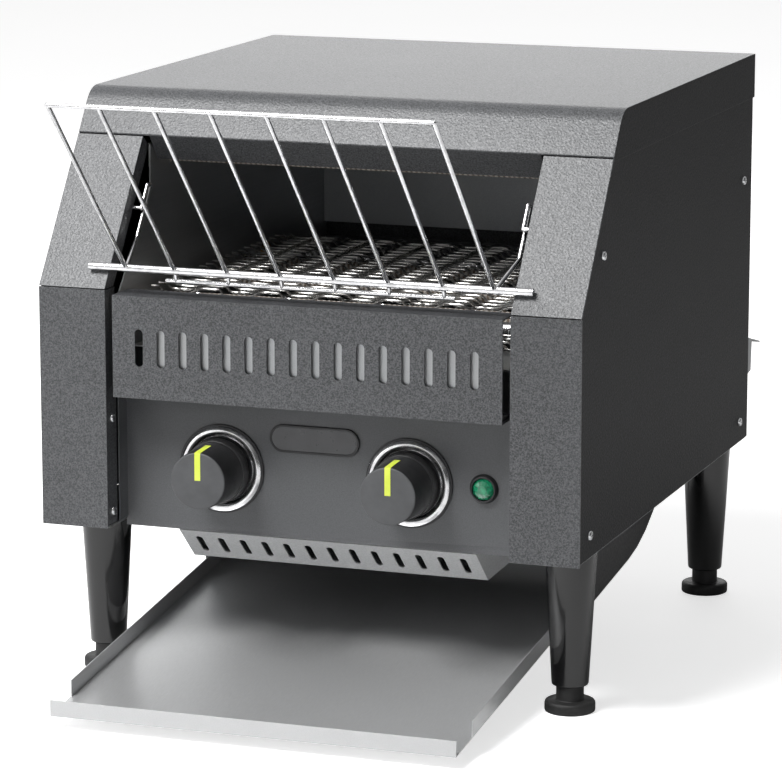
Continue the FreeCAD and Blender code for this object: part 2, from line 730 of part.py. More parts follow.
# Conveyor geometry
belt_radius = get("belt_radius")
belt_gauge = get("belt_thickness")
axis_height = get("belt_top") - belt_radius
axis_front = get("belt_front")
axis_back = axis_front + get("belt_length")
axes = [("front", axis_front), ("rear", axis_back)]
shaft_radius = get("shaft_radius")
hook_at = (get("rack_hook_back"), get("rack_hook_height"))
heater_radius = get("heater_radius")
heater_rows = [axis_front + get("belt_length") / 2 + step * get("heater_spacing") for step in (-1, 0, 1)]
upper_heaters = [(y + 20, get("upper_heater_height")) for y in heater_rows]
lower_heaters = [(y, axis_height) for y in heater_rows]

# Inner walls of the oven, with the holes of shafts, heaters and rack hooks
wall_gauge = gauge
ceiling = get("ceiling_height")
wall_low = base + 1.2
wall_setback = 14.5


def wall_outline():
    """Side wall outline in (Y, Z): its front edge stands behind the sloped plate."""
    lean_back = wall_setback / slope.z
    return [(recess + 2 * gauge, base + 1.2), (recess + 2 * gauge, vent_low + 1.5),
            (oven_front + 2.8, vent_low + 1.5), (oven_front + 2.8, column_top - 6),
            (edge_back + lean_back - 13, 322), (edge_back + lean_back - 13, ceiling), (oven_back, ceiling),
            (oven_back, base + 1.2)]


for side, name in ((-1, "left"), (1, "right")):
    x = side * oven
    outline = [Vector(x, y, z) for y, z in wall_outline()]
    wall = slab(outline, Vector(side * -wall_gauge, 0, 0))
    punches = [hole((x, y, axis_height), (1, 0, 0), 9.2, 8) for name_, y in axes]
    punches += [hole((x, y, z), (1, 0, 0), heater_radius + 1.2, 8) for y, z in upper_heaters + lower_heaters]
    punches.append(hole((x, hook_at[0], hook_at[1]), (1, 0, 0), 2.4, 8))
    wall = wall.cut(Part.makeCompound(punches))
    foot = box(min(x, x + side * 10), max(x, x + side * 10), 60, oven_back - 20, wall_low, wall_low + gauge)
    keep(f"oven_wall_{name}", shaped(f"oven_wall_{name}", merged([wall, foot])))

# Ceiling reflector, rear reflector and the shield between the oven and the controls
clear_half = oven - wall_gauge - gap
ceiling_path = [(edge_back + 22, ceiling - 3.0), (edge_back + 34, ceiling), (oven_back - 6, ceiling),
                (oven_back - 6, axis_height + 6)]
reflector = bent_sheet(ceiling_path, gauge, -clear_half, 2 * clear_half)
keep("ceiling_reflector", shaped("ceiling_reflector", reflector))
shield_back = get("lower_vent_back") + 10
shield = bent_sheet([(shield_back, base + 1.3), (shield_back, axis_height - belt_radius - 12),
                     (oven_front + 22, axis_height - belt_radius - 8)], gauge, -clear_half, 2 * clear_half)
keep("control_shield", shaped("control_shield", shield))

# Toast chute: a back plate that curves forward under the casing, between two cheeks
chute_half = get("chute_half")
tray_lean = math.radians(get("tray_slope"))
tray_gauge = get("tray_gauge")
tray_front = -get("tray_front")
tray_floor = get("tray_floor_front")


def tray_height(y):
    """Height of the underside of the tray floor at a distance back."""
    return tray_floor + (y - tray_front) * math.tan(tray_lean)


chute_start = get("chute_start")
bend_start = get("chute_bend_start")
chute_back = get("chute_back")
chute_top = axis_height - 4
ledge = gap
low_at = (chute_start, tray_height(chute_start) - ledge)
bend_at = (bend_start, tray_height(bend_start) - ledge)
arc_radius = (chute_back - bend_start) / (1 - math.sin(tray_lean))
centre = (bend_at[0] - arc_radius * math.sin(tray_lean), bend_at[1] + arc_radius * math.cos(tray_lean))
curve = []
arc_steps = 10
for step in range(arc_steps + 1):
    angle = -math.pi / 2 + tray_lean + (math.pi / 2 - tray_lean) * step / arc_steps
    curve.append((centre[0] + arc_radius * math.cos(angle), centre[1] + arc_radius * math.sin(angle)))
chute_path = [low_at] + curve + [(curve[-1][0], chute_top)]
floor_half = chute_half - 1.2
chute = bent_sheet(chute_path, -gauge, -floor_half, 2 * floor_half)
cheek_top = base - 0.3
cheek_points = [(low_at[0], low_at[1] - gauge), (low_at[0], low_at[1] + 16), (low_at[0] + 22, cheek_top)]
rising = [point for point in curve if point[1] < cheek_top]
last = rising[-1]
following = curve[len(rising)]
share = (cheek_top - last[1]) / (following[1] - last[1])
meet = (last[0] + (following[0] - last[0]) * share, cheek_top)
around = [Vector(y, z, 0) for y, z in [low_at] + rising + [meet]]
under = [(p.x, p.y) for p in offset_path(around, -gauge)]
cheek_points += [(meet[0], cheek_top)] + [point for point in under[::-1] if point[1] < cheek_top - 0.2][:-1]
for side in (-1, 1):
    cheek = slab([Vector(side * floor_half, y, z) for y, z in cheek_points], Vector(side * 1.2, 0, 0))
    chute = chute.fuse(cheek)
lip = [box(min(side * chute_half, side * (chute_half + 8)), max(side * chute_half, side * (chute_half + 8)),
           low_at[0] + 30, meet[0] - 20, cheek_top - gauge, cheek_top) for side in (-1, 1)]
for piece in lip:
    chute = chute.fuse(piece)
neck_half = oven - gauge - 2 * gap
for side in (-1, 1):
    chute = chute.cut(box(min(side * neck_half, side * half), max(side * neck_half, side * half),
                          chute_start,
                          depth, cheek_top + 0.01, height))
chute = chute.removeSplitter()
keep("toast_chute", shaped("toast_chute", chute.Solids[0]))

# Tray: sloping floor, side edges and an upturned front lip
tray_half = get("tray_half")
tray_back = get("tray_back")
edge = get("tray_edge")
floor_front = (tray_front, tray_height(tray_front))
floor_back = (tray_back, tray_height(tray_back))
tray = bent_sheet([(floor_back[0], floor_back[1]), floor_front, (tray_front, floor_front[1] + edge - 0.8)],
                  -tray_gauge, -tray_half, 2 * tray_half)
flange_start = -get("tray_flange_start")
for side in (-1, 1):
    x = side * tray_half
    corners = [(flange_start, tray_height(flange_start)), (tray_back, tray_height(tray_back)),
               (tray_back, tray_height(tray_back) + edge), (flange_start, tray_height(flange_start) + edge)]
    tray = tray.fuse(slab([Vector(x, y, z) for y, z in corners], Vector(-side * tray_gauge, 0, 0)))
tray = tray.removeSplitter()
keep("toast_tray", shaped("toast_tray", tray.Solids[0]))

# Conveyor belt: a closed loop of wire mesh, drawn as one holed band
def loop_solid(radius, start, width_across):
    """A racetrack shape round both shafts, drawn along X."""
    pieces = [Part.makeCylinder(radius, width_across, Vector(start, y, axis_height), Vector(1, 0, 0))
              for name_, y in axes]
    pieces.append(box(start, start + width_across, axis_front, axis_back, axis_height - radius,
                      axis_height + radius))
    return merged(pieces)


belt_half = get("belt_width") / 2
belt = loop_solid(belt_radius, -belt_half, 2 * belt_half)
belt = belt.cut(loop_solid(belt_radius - belt_gauge, -belt_half - 1, 2 * belt_half + 2))
rows = int(get("belt_rows"))
columns = int(get("belt_columns"))
row_pitch = get("belt_length") / rows
column_pitch = (2 * belt_half - 8) / columns
windows = []
for row in range(rows):
    y = axis_front + (row + 0.5) * row_pitch
    for column in range(columns):
        x = -belt_half + 4 + (column + 0.5) * column_pitch
        windows.append(box(x - column_pitch / 2 + 2, x + column_pitch / 2 - 2, y - row_pitch / 2 + 2,
                           y + row_pitch / 2 - 2, axis_height - belt_radius - 1, axis_height + belt_radius + 1))
belt = belt.cut(Part.makeCompound(windows))
keep("conveyor_belt", shaped("conveyor_belt", belt.Solids[0]))

# Shafts with their sprockets, bushes in the walls, and the drive at the right side
chain_x = get("chain_side")
bushes = []
for name, y in axes:
    shaft_end = "chain_side + 7" if name == "rear" else "oven_width / 2 + 7"
    shaft_at = "belt_front + belt_length" if name == "rear" else "belt_front"
    keep(f"belt_shaft_{name}", rod(f"belt_shaft_{name}", "shaft_radius", f"{shaft_end} + oven_width / 2 + 7",
                                   ("-oven_width / 2 - 7", shaft_at, "belt_top - belt_radius"), "x"))
    wheels = []
    teeth = 10
    for x in (-96, -32, 32, 96):
        wheel = Part.makeCylinder(get("sprocket_radius") - 2, 5, Vector(x - 2.5, y, axis_height),
                                  Vector(1, 0, 0))
        tips = []
        for tooth in range(teeth):
            tip = box(x - 1.5, x + 1.5, y - 1.2, y + 1.2, axis_height + 5,
                      axis_height + get("sprocket_radius"))
            tip.rotate(Vector(0, y, axis_height), Vector(1, 0, 0), 360 / teeth * tooth)
            tips.append(tip)
        wheel = wheel.multiFuse(tips)
        wheel = wheel.cut(Part.makeCylinder(shaft_radius, 9, Vector(x - 4, y, axis_height), Vector(1, 0, 0)))
        wheels.append(wheel.removeSplitter().Solids[0])
    keep(f"belt_wheels_{name}", shaped(f"belt_wheels_{name}", Part.makeCompound(wheels)))
    for side in (-1, 1):
        x = side * (oven - wall_gauge / 2)
        inner = Part.makeCylinder(9.0, 3.4, Vector(x - 1.7, y, axis_height), Vector(1, 0, 0))
        collar = Part.makeCylinder(11.5, 1.6,
                                   Vector(side * oven if side > 0 else -oven - 1.6, y,
                                          axis_height), Vector(1, 0, 0))
        bush = merged([inner, collar]).cut(
            Part.makeCylinder(shaft_radius + 0.06, 30, Vector(x - 15, y, axis_height), Vector(1, 0, 0)))
        bushes.append(bush.Solids[0])
keep("shaft_bushes", shaped("shaft_bushes", Part.makeCompound(bushes)))


def toothed_wheel(x, y, z, radius, teeth, bore):
    """A thin chain sprocket: a disc with small square teeth and a hub."""
    wheel = Part.makeCylinder(radius - 1.6, 2.4, Vector(x - 1.2, y, z), Vector(1, 0, 0))
    tips = []
    for tooth in range(teeth):
        tip = box(x - 1.2, x + 1.2, y - 1.0, y + 1.0, z + radius - 5, z + radius)
        tip.rotate(Vector(x, y, z), Vector(1, 0, 0), 360 / teeth * tooth)
        tips.append(tip)
    hub = Part.makeCylinder(bore + 3.4, 6, Vector(x - 3, y, z), Vector(1, 0, 0))
    wheel = wheel.multiFuse(tips + [hub]).cut(Part.makeCylinder(bore, 20, Vector(x - 10, y, z),
                                                                Vector(1, 0, 0)))
    return wheel.removeSplitter().Solids[0]


wheel_radius = get("chain_wheel_radius")
motor_radius = get("motor_wheel_radius")
motor_at = (get("motor_back"), get("motor_height"))
keep("driven_sprocket", shaped("driven_sprocket", toothed_wheel(chain_x, axis_back, axis_height,
                                                                wheel_radius, 20,
                                                                 shaft_radius)))
keep("motor_sprocket", shaped("motor_sprocket", toothed_wheel(chain_x, motor_at[0], motor_at[1],
                                                              motor_radius, 14, 4)))
keep("motor_shaft", rod("motor_shaft", "gear_shaft_radius", "20", ("chain_side - 14", "motor_back",
                                                                   "motor_height"), "x"))

# Drive chain round both sprockets: a closed band with an open middle
chain_gap = 0.6
chain_thick = 3.4
first = Vector(0, axis_back, axis_height)
second = Vector(0, motor_at[0], motor_at[1])


def belt_band(x, radius_a, radius_b, width_across):
    """The solid hull of two discs, drawn along X."""
    along = second - first
    distance = along.Length
    along.normalize()
    across = Vector(0, -along.z, along.y)
    lean_angle = math.asin((radius_a - radius_b) / distance)
    corners = []
    for sign in (1, -1):
        direction = along * math.sin(lean_angle) + across * (sign * math.cos(lean_angle))
        corners.append((first + direction * radius_a, second + direction * radius_b))
    outline = [corners[0][0], corners[0][1], corners[1][1], corners[1][0]]
    middle = slab([p + Vector(x, 0, 0) for p in outline], Vector(width_across, 0, 0))
    discs = [Part.makeCylinder(radius, width_across, point + Vector(x, 0, 0), Vector(1, 0, 0))
             for radius, point in ((radius_a, first), (radius_b, second))]
    return merged([middle] + discs)


chain = belt_band(chain_x - 2.2, wheel_radius + chain_gap + chain_thick,
                  motor_radius + chain_gap + chain_thick, 4.4)
chain = chain.cut(belt_band(chain_x - 5, wheel_radius + chain_gap, motor_radius + chain_gap, 10))
keep("drive_chain", shaped("drive_chain", chain.Solids[0]))

# Gear motor hung outside the right oven wall, below the belt line
gear_case = block("gear_case", ("chain_side - 6 - oven_width / 2 - 0.2", "gear_size", "gear_size"),
                  ("oven_width / 2 + 0.2", "motor_back - gear_size / 2", "motor_height - gear_size / 2"))
gear_bore = rod("gear_bore", "gear_shaft_radius + 0.3", "40",
                ("oven_width / 2 - 5", "motor_back", "motor_height"), "x")
keep("motor_gearbox", cut("motor_gearbox", gear_case, [gear_bore]))
core = block("motor_stack", ("32 - 0.2", "motor_core", "motor_core"),
             ("oven_width / 2 + 0.2", "motor_back - 60 - motor_core", "motor_height - 2 - motor_core"))
core_bore = rod("motor_bore", "motor_core / 2 - 7", "50",
                ("oven_width / 2 + 6", "motor_back - 60 - motor_core / 2",
                 "motor_height - 2 - motor_core / 2"), "x")
keep("motor_frame", cut("motor_frame", core, [core_bore]))

# Heating tubes with ceramic end caps seated in the wall holes
caps = []
tubes = {"upper": [], "lower": []}
for index in range(3):
    middle = f"belt_front + belt_length / 2 + {index - 1} * heater_spacing"
    for label, y, z in (("upper", middle + " + 20", "upper_heater_height"),
                        ("lower", middle, "belt_top - belt_radius")):
        tubes[label].append(rod(f"{label}_tube_{index}", "heater_radius", "oven_width + 12",
                                ("-oven_width / 2 - 6", y, z), "x"))
        for side, start in (("left", "-oven_width / 2 - 12.1"), ("right", "oven_width / 2 + 0.1")):
            body = block(f"{label}_cap_body_{side}_{index}", ("12", "18", "16"),
                         (start, f"{y} - 9", f"{z} - 8"))
            bore = rod(f"{label}_cap_bore_{side}_{index}", "heater_radius + 0.05", "30",
                       (start + " - 9", y, z), "x")
            caps.append(cut(f"{label}_cap_{side}_{index}", body, [bore]))
for label, pieces in tubes.items():
    keep(f"{label}_heaters", group(f"{label}_heaters", pieces))
keep("heater_caps", group("heater_caps", caps))

# Electrics in the left cavity: terminal block on the base and the cable gland at the back
terminal = block("terminal_body", ("22", "50", "20.8"),
                 ("-oven_width / 2 - 36", "body_depth - terminal_rear_room", "base_height + skin"))
poles = [rod(f"terminal_pole_{index}", "3", "30",
             ("-oven_width / 2 - 25", f"body_depth - terminal_rear_room + {8 + 11 * index}",
                                                      "base_height + 14"))
         for index in range(4)]
keep("terminal_block", cut("terminal_block", terminal, poles))
gland = Part.makeCylinder(8.0, 14, Vector(gland_at[0], rear_inner - 6, gland_at[1]), Vector(0, 1, 0))
gland = gland.fuse(Part.makeCylinder(11, 5, Vector(gland_at[0], rear_face, gland_at[1]), Vector(0, 1, 0)))
gland = gland.fuse(Part.makeCylinder(11, 4, Vector(gland_at[0], rear_inner - 4, gland_at[1]),
                                     Vector(0, 1, 0)))
gland = gland.cut(Part.makeCylinder(4.2, 60, Vector(gland_at[0], rear_inner - 30, gland_at[1]),
                                    Vector(0, 1, 0)))
keep("cable_gland", shaped("cable_gland", gland.removeSplitter().Solids[0]))

# Legs: tapered rounds under the base, with screw feet in them
leg_bottom = get("leg_bottom")
legs = []
bolts = []
for name, (x, y) in LEG_FORMULAS.items():
    taper = cone(f"leg_taper_{name}", "leg_foot_radius", "leg_top_radius", "base_height - leg_bottom",
                 (x, y, "leg_bottom"))
    bores = [rod(f"stem_bore_{name}", "foot_stem_radius + 0.1", "stem_length + 5", (x, y, "leg_bottom - 1")),
             rod(f"bolt_bore_{name}", "bolt_radius", "bolt_length + 1",
                 (x, y, "base_height - bolt_length - 1"))]
    legs.append(cut(f"leg_{name}", taper, bores))
    bolts.append(fuse(f"leg_bolt_{name}", [
        rod(f"bolt_head_{name}", "7", "4", (x, y, "base_height + skin")),
        rod(f"bolt_stem_{name}", "bolt_radius", "bolt_length + 2", (x, y, "base_height - bolt_length")),
    ]))
keep("legs", group("legs", legs))
keep("leg_bolts", group("leg_bolts", bolts))
for name, x, y in leg_places:
    disc = Part.makeCylinder(get("foot_radius"), get("foot_height"), Vector(x, y, 0))
    top_rim = [item for item in disc.Edges if item.Closed and item.CenterOfMass.z > 1]
    disc = disc.makeFillet(2.4, top_rim)
    low_rim = [item for item in disc.Edges if item.Closed and item.CenterOfMass.z < 0.01]
    disc = disc.makeFillet(1.4, low_rim)
    neck = Part.makeCylinder(get("foot_neck_radius"), leg_bottom - gap - get("foot_height") + 1,
                             Vector(x, y, get("foot_height") - 1))
    stem = Part.makeCylinder(get("foot_stem_radius"), get("stem_length"), Vector(x, y, leg_bottom - gap))
    keep(f"foot_{name}", shaped(f"foot_{name}", merged([disc, neck, stem])))

# Feed rack: eight wires between a thin top bar and a thick rest bar, two hooked side arms
wire = get("rack_wire_radius")
bar_back = (get("rack_bar_height") - column_top) * slope.y / slope.z - (get("rack_bar_radius") + gap) / slope.z
rest = Vector(0, bar_back, get("rack_bar_height"))
top = Vector(0, -get("rack_top_forward"), get("rack_top_height"))
guide = Vector(0, get("rack_guide_back"), get("rack_guide_height"))
rack_half = get("rack_half")
pieces = [bar(top + Vector(-rack_half, 0, 0), top + Vector(rack_half, 0, 0), wire)]
rest_half = get("rack_bar_half")
pieces.append(bar(rest + Vector(-rest_half, 0, 0), rest + Vector(rest_half, 0, 0), get("rack_bar_radius")))
guide_half = get("rack_guide_half")
pieces.append(bar(guide + Vector(-guide_half, 0, 0), guide + Vector(guide_half, 0, 0), wire))
along_wire = (top - rest).normalize()
for index in range(6):
    x = (index - 2.5) * get("rack_spacing")
    pieces += bent_wire([top + Vector(x, 0, 0) + along_wire * 0.4, rest + Vector(x, 0, 0),
                         guide + Vector(x, 0, 0)], wire)
hook = Vector(0, hook_at[0], hook_at[1])
for side in (-1, 1):
    x = side * rack_half
    arm_x = side * (oven - wall_gauge - 4.2)
    path = [top + Vector(x, 0, 0), rest + Vector(x, 0, 0), Vector(arm_x, hook_at[0] - 8, hook_at[1] - 18),
            Vector(arm_x, hook_at[0] + 15, hook_at[1] + 13), Vector(arm_x, hook_at[0] + 10,
                                                                    hook_at[1] + 13.8),
            Vector(arm_x, hook_at[0], hook_at[1]), Vector(side * (oven + 1.1), hook_at[0], hook_at[1])]
    pieces += bent_wire(path, wire)
    pieces.append(Part.makeSphere(wire, top + Vector(x, 0, 0)))
rack = merged(pieces)
keep("feed_rack", shaped("feed_rack", rack))

doc.recompute()
faults = [item.Name for item in doc.Objects if "Invalid" in item.State or "Error" in item.State]
if faults:
    raise RuntimeError("pieces that failed: " + ", ".join(faults))
os.makedirs("parts", exist_ok=True)
for label, piece in PARTS.items():
    shape = piece.Shape
    if shape.isNull() or not shape.isValid() or not shape.Solids:
        raise RuntimeError("not a valid solid: " + label)
    shape.exportStep(os.path.join("parts", label + ".step"))
print(len(PARTS), "sub-parts written")
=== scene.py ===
"""Looks and studio for a countertop conveyor toaster.

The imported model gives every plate, shaft and tube. This script gives each one its finish,
draws the round and woven parts in full, and sets the camera and the soft studio round them.
All lengths are metres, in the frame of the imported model: X right, Y back, Z up.
"""

import json
import logging
import math
from dataclasses import dataclass, field
from enum import Enum

import bmesh
import bpy
import numpy as np
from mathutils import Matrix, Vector

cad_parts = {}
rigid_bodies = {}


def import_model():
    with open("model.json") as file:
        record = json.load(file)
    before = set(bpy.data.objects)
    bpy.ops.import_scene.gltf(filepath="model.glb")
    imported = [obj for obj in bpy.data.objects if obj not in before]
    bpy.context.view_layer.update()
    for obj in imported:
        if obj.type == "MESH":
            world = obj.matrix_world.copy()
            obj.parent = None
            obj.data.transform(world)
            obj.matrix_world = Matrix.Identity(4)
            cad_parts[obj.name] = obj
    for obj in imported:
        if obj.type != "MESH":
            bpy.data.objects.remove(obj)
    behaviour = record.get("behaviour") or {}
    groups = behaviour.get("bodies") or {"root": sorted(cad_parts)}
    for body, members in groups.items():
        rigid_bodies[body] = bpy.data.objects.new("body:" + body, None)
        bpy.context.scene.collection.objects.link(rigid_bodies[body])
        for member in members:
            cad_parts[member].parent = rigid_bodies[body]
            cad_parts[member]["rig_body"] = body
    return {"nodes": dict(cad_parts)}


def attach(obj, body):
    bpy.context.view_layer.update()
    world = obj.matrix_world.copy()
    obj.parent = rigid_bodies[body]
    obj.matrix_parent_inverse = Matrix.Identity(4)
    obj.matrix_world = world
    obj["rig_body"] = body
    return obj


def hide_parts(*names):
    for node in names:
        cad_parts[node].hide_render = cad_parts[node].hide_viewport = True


log = logging.getLogger("toaster")

Colour = tuple[float, float, float]
Span = tuple[float, float]
Point = tuple[float, float, float]
Shell = tuple[np.ndarray, np.ndarray]
Socket = bpy.types.NodeSocket
Tree = bpy.types.NodeTree

FRONT_PLANE = -0.17125
PANEL_RECESS = 0.030
CONTROL_HEIGHT = 0.1476
TOWARD = (0.0, -1.0, 0.0)
UP = (0.0, 0.0, 1.0)
WELD_REACH = 1e-6
FLAT_DEGREES = 0.5
FLANK_NORMAL = 0.9
NOISE_SPAN = (0.3, 0.7)
WAVE_BANDS = 3.2
SOCKET_NAMES = {
    "specular": "Specular IOR Level",
    "coat": "Coat Weight",
    "coat_roughness": "Coat Roughness",
    "transmission": "Transmission Weight",
    "anisotropy": "Anisotropic",
    "ior": "IOR",
}


class Grain(Enum):
    """Which way the brushing of a metal runs."""

    ALONG_X = (12.0, 1700.0, 1700.0)
    ALONG_Y = (1700.0, 12.0, 1700.0)
    ALONG_Z = (1700.0, 1700.0, 12.0)


class Side(Enum):
    """Left or right of the object as its user sees it."""

    LEFT = -1
    RIGHT = 1

    @property
    def label(self) -> str:
        """The side's name in lower case."""
        return self.name.lower()


def ranged(tree: Tree, source: Socket, start: Span, end: Span) -> Socket:
    """A value carried evenly from one span to another."""
    node = tree.nodes.new("ShaderNodeMapRange")
    for name, value in zip(("From Min", "From Max", "To Min", "To Max"), (*start, *end)):
        node.inputs[name].default_value = value
    tree.links.new(source, node.inputs["Value"])
    return node.outputs["Result"]


def worked(tree: Tree, operation: str, first: Socket, second: Socket) -> Socket:
    """Two values put through one Math operation."""
    node = tree.nodes.new("ShaderNodeMath")
    node.operation = operation
    tree.links.new(first, node.inputs[0])
    tree.links.new(second, node.inputs[1])
    return node.outputs[0]


class Board:
    """A drawing board for one material: a principled shader and the nodes that feed it."""

    def __init__(self, name: str) -> None:
        """Starts an empty material of this name."""
        self.material = bpy.data.materials.new(name)
        self.material.use_nodes = True
        self.tree = self.material.node_tree
        self.tree.nodes.clear()
        self.shader = self.tree.nodes.new("ShaderNodeBsdfPrincipled")
        self.surface = self.tree.nodes.new("ShaderNodeOutputMaterial").inputs["Surface"]
        self.tree.links.new(self.shader.outputs["BSDF"], self.surface)
        self.where = self.tree.nodes.new("ShaderNodeTexCoord").outputs["Object"]

    def set(self, **values: float) -> None:
        """Sets sockets of the shader to plain values, by short names."""
        for name, value in values.items():
            self.shader.inputs[SOCKET_NAMES.get(name, name.capitalize())].default_value = value

    def node(self, kind: str, **values: float | Point) -> bpy.types.Node:
        """A new node of a kind, with the inputs of these names set."""
        made = self.tree.nodes.new("ShaderNode" + kind)
        for name, value in values.items():
            made.inputs[name].default_value = value
        return made

    def feed(self, socket: str, source: Socket) -> None:
        """Links a node output to a socket of the shader."""
        self.tree.links.new(source, self.shader.inputs[socket])

    def mapped(self, scale: Point) -> Socket:
        """Object coordinates scaled by a Mapping node."""
        node = self.node("Mapping", Scale=scale)
        self.tree.links.new(self.where, node.inputs["Vector"])
        return node.outputs["Vector"]

    def noise(self, scale: float, detail: float = 3.0, roughness: float = 0.5,
              vector: Socket | None = None) -> Socket:
        """Soft noise.

        Args:
            scale: patches per metre, or per unit of the vector.
            detail: how many finer layers it carries.
            roughness: how strong the finer layers are.
            vector: coordinates, or None for plain Object coordinates.

        Returns:
            The noise value, about 0.3 to 0.7.
        """
        node = self.node("TexNoise", Scale=scale, Detail=detail, Roughness=roughness)
        self.tree.links.new(vector or self.where, node.inputs["Vector"])
        return node.outputs["Fac"]

    def cells(self, scale: float) -> Socket:
        """Distance to the nearest cell centre, for hammered and speckled finishes."""
        node = self.node("TexVoronoi", Scale=scale)
        node.feature = "SMOOTH_F1"
        self.tree.links.new(self.where, node.inputs["Vector"])
        return node.outputs["Distance"]

    def bands(self, scale: float, axis: str) -> Socket:
        """Even bands across one axis, as wound or linked parts have."""
        node = self.node("TexWave", Scale=scale, Distortion=0.4)
        node.bands_direction = axis
        self.tree.links.new(self.where, node.inputs["Vector"])
        return node.outputs["Fac"]

    def ramp(self, source: Socket, stops: list[tuple[float, Colour]]) -> Socket:
        """Colours laid along a value.

        Args:
            source: the value that picks the colour.
            stops: position and colour, from low to high.

        Returns:
            The colour output.
        """
        node = self.node("ValToRGB")
        ramp = node.color_ramp
        while len(ramp.elements) < len(stops):
            ramp.elements.new(0.5)
        for element, (position, colour) in zip(ramp.elements, stops):
            element.position = position
            element.color = (*colour, 1.0)
        self.tree.links.new(source, node.inputs["Fac"])
        return node.outputs["Color"]

    def spread(self, source: Socket, low: float, high: float) -> Socket:
        """A noise value stretched to run from low to high."""
        return ranged(self.tree, source, NOISE_SPAN, (low, high))

    def blend(self, factor: Socket, first: Socket,
              second: Socket) -> Socket:
        """Two colours mixed by a value."""
        node = self.node("Mix")
        node.data_type = "RGBA"
        for index, source in ((0, factor), (6, first), (7, second)):
            self.tree.links.new(source, node.inputs[index])
        return node.outputs[2]

    def relief(self, source: Socket, strength: float, distance: float) -> None:
        """Bumps the surface by a value, on top of any bump already there."""
        node = self.node("Bump", Strength=strength, Distance=distance)
        self.tree.links.new(source, node.inputs["Height"])
        normal = self.shader.inputs["Normal"]
        if normal.is_linked:
            self.tree.links.new(normal.links[0].from_socket, node.inputs["Normal"])
        self.tree.links.new(node.outputs["Normal"], normal)


@dataclass(frozen=True)
class PowderCoat:
    """Baked powder paint with an orange peel skin, fine speckle and faint handling marks."""

    name: str
    dark: Colour
    light: Colour
    peel: float = 620.0
    relief: float = 0.35
    roughness: Span = (0.38, 0.52)
    specular: float = 0.5

    def material(self) -> bpy.types.Material:
        """The finished material."""
        board = Board(self.name)
        board.set(specular=self.specular)
        speckle = board.noise(self.peel * 1.25, 3.0, 0.7)
        broad = board.noise(9.0, 2.0, 0.5)
        middle = tuple((a + b) / 2 for a, b in zip(self.dark, self.light))
        fine = board.ramp(speckle, [(0.38, self.dark), (0.5, middle), (0.62, self.light)])
        faded = board.ramp(broad, [(0.3, self.dark), (0.75, self.light)])
        weight = board.spread(broad, 0.05, 0.18)
        board.feed("Base Color", board.blend(weight, fine, faded))
        board.feed("Roughness", board.spread(board.noise(self.peel, 3.0, 0.65), *self.roughness))
        board.relief(board.cells(self.peel), self.relief, 0.0004)
        board.relief(board.noise(self.peel * 3.1, 2.0), self.relief * 0.5, 0.00015)
        return board.material


@dataclass(frozen=True)
class BrushedMetal:
    """Bare rolled or brushed sheet: fine lines one way, soft stains and a cloudy gloss."""

    name: str
    dark: Colour
    light: Colour
    grain: Grain = Grain.ALONG_X
    roughness: Span = (0.24, 0.42)
    relief: float = 0.12
    stain: float = 0.0
    metallic: float = 1.0

    def material(self) -> bpy.types.Material:
        """The finished material."""
        board = Board(self.name)
        board.set(metallic=self.metallic, anisotropy=0.35)
        lines = board.noise(1.0, 3.0, 0.6, board.mapped(self.grain.value))
        clouds = board.noise(11.0, 5.0, 0.6)
        tone = board.ramp(lines, [(0.3, self.dark), (0.7, self.light)])
        heat = tuple(value * (1.0 - self.stain * loss) for value, loss in zip(self.light, (0.25, 0.45, 0.7)))
        stained = board.ramp(clouds, [(0.35, self.light), (0.7, heat)])
        board.feed("Base Color", board.blend(board.spread(clouds, 0.1, 0.5), tone, stained))
        board.feed("Roughness", board.spread(board.noise(1.0, 4.0, 0.7, board.mapped(self.grain.value)),
                                             *self.roughness))
        board.relief(lines, self.relief, 0.00012)
        return board.material


@dataclass(frozen=True)
class Polished:
    """Bright plated metal with a trace of handling marks."""

    name: str
    colour: Colour
    dull: Colour
    roughness: Span = (0.07, 0.18)

    def material(self) -> bpy.types.Material:
        """The finished material."""
        board = Board(self.name)
        board.set(metallic=1.0)
        marks = board.noise(160.0, 5.0, 0.6)
        board.feed("Base Color", board.ramp(marks, [(0.35, self.dull), (0.55, self.colour)]))
        board.feed("Roughness", board.spread(board.noise(420.0, 3.0, 0.6), *self.roughness))
        board.relief(board.noise(900.0, 2.0), 0.05, 0.0001)
        return board.material


@dataclass(frozen=True)
class Moulded:
    """Moulded plastic or rubber with a fine spark grain and slight shading of its colour."""

    name: str
    dark: Colour
    light: Colour
    grain: float = 2400.0
    relief: float = 0.2
    roughness: Span = (0.4, 0.55)
    coat: float = 0.0

    def material(self) -> bpy.types.Material:
        """The finished material."""
        board = Board(self.name)
        board.set(coat=self.coat, coat_roughness=0.12)
        board.feed("Base Color", board.ramp(board.noise(70.0, 5.0, 0.6),
                                            [(0.3, self.dark), (0.7, self.light)]))
        board.feed("Roughness", board.spread(board.noise(190.0, 4.0, 0.6), *self.roughness))
        board.relief(board.noise(self.grain, 2.0, 0.7), self.relief, 0.0001)
        return board.material


@dataclass(frozen=True)
class Banded:
    """A part with even bands: a wound element in its tube, or the links of a chain."""

    name: str
    dark: Colour
    light: Colour
    pitch: float
    axis: str = "X"
    metallic: float = 0.0
    roughness: Span = (0.2, 0.35)

    def material(self) -> bpy.types.Material:
        """The finished material."""
        board = Board(self.name)
        board.set(metallic=self.metallic, coat=0.3)
        rings = board.bands(1.0 / self.pitch / WAVE_BANDS, self.axis)
        board.feed("Base Color", board.ramp(rings, [(0.25, self.dark), (0.7, self.light)]))
        board.feed("Roughness", board.spread(board.noise(300.0, 3.0), *self.roughness))
        board.relief(rings, 0.4, 0.0004)
        return board.material


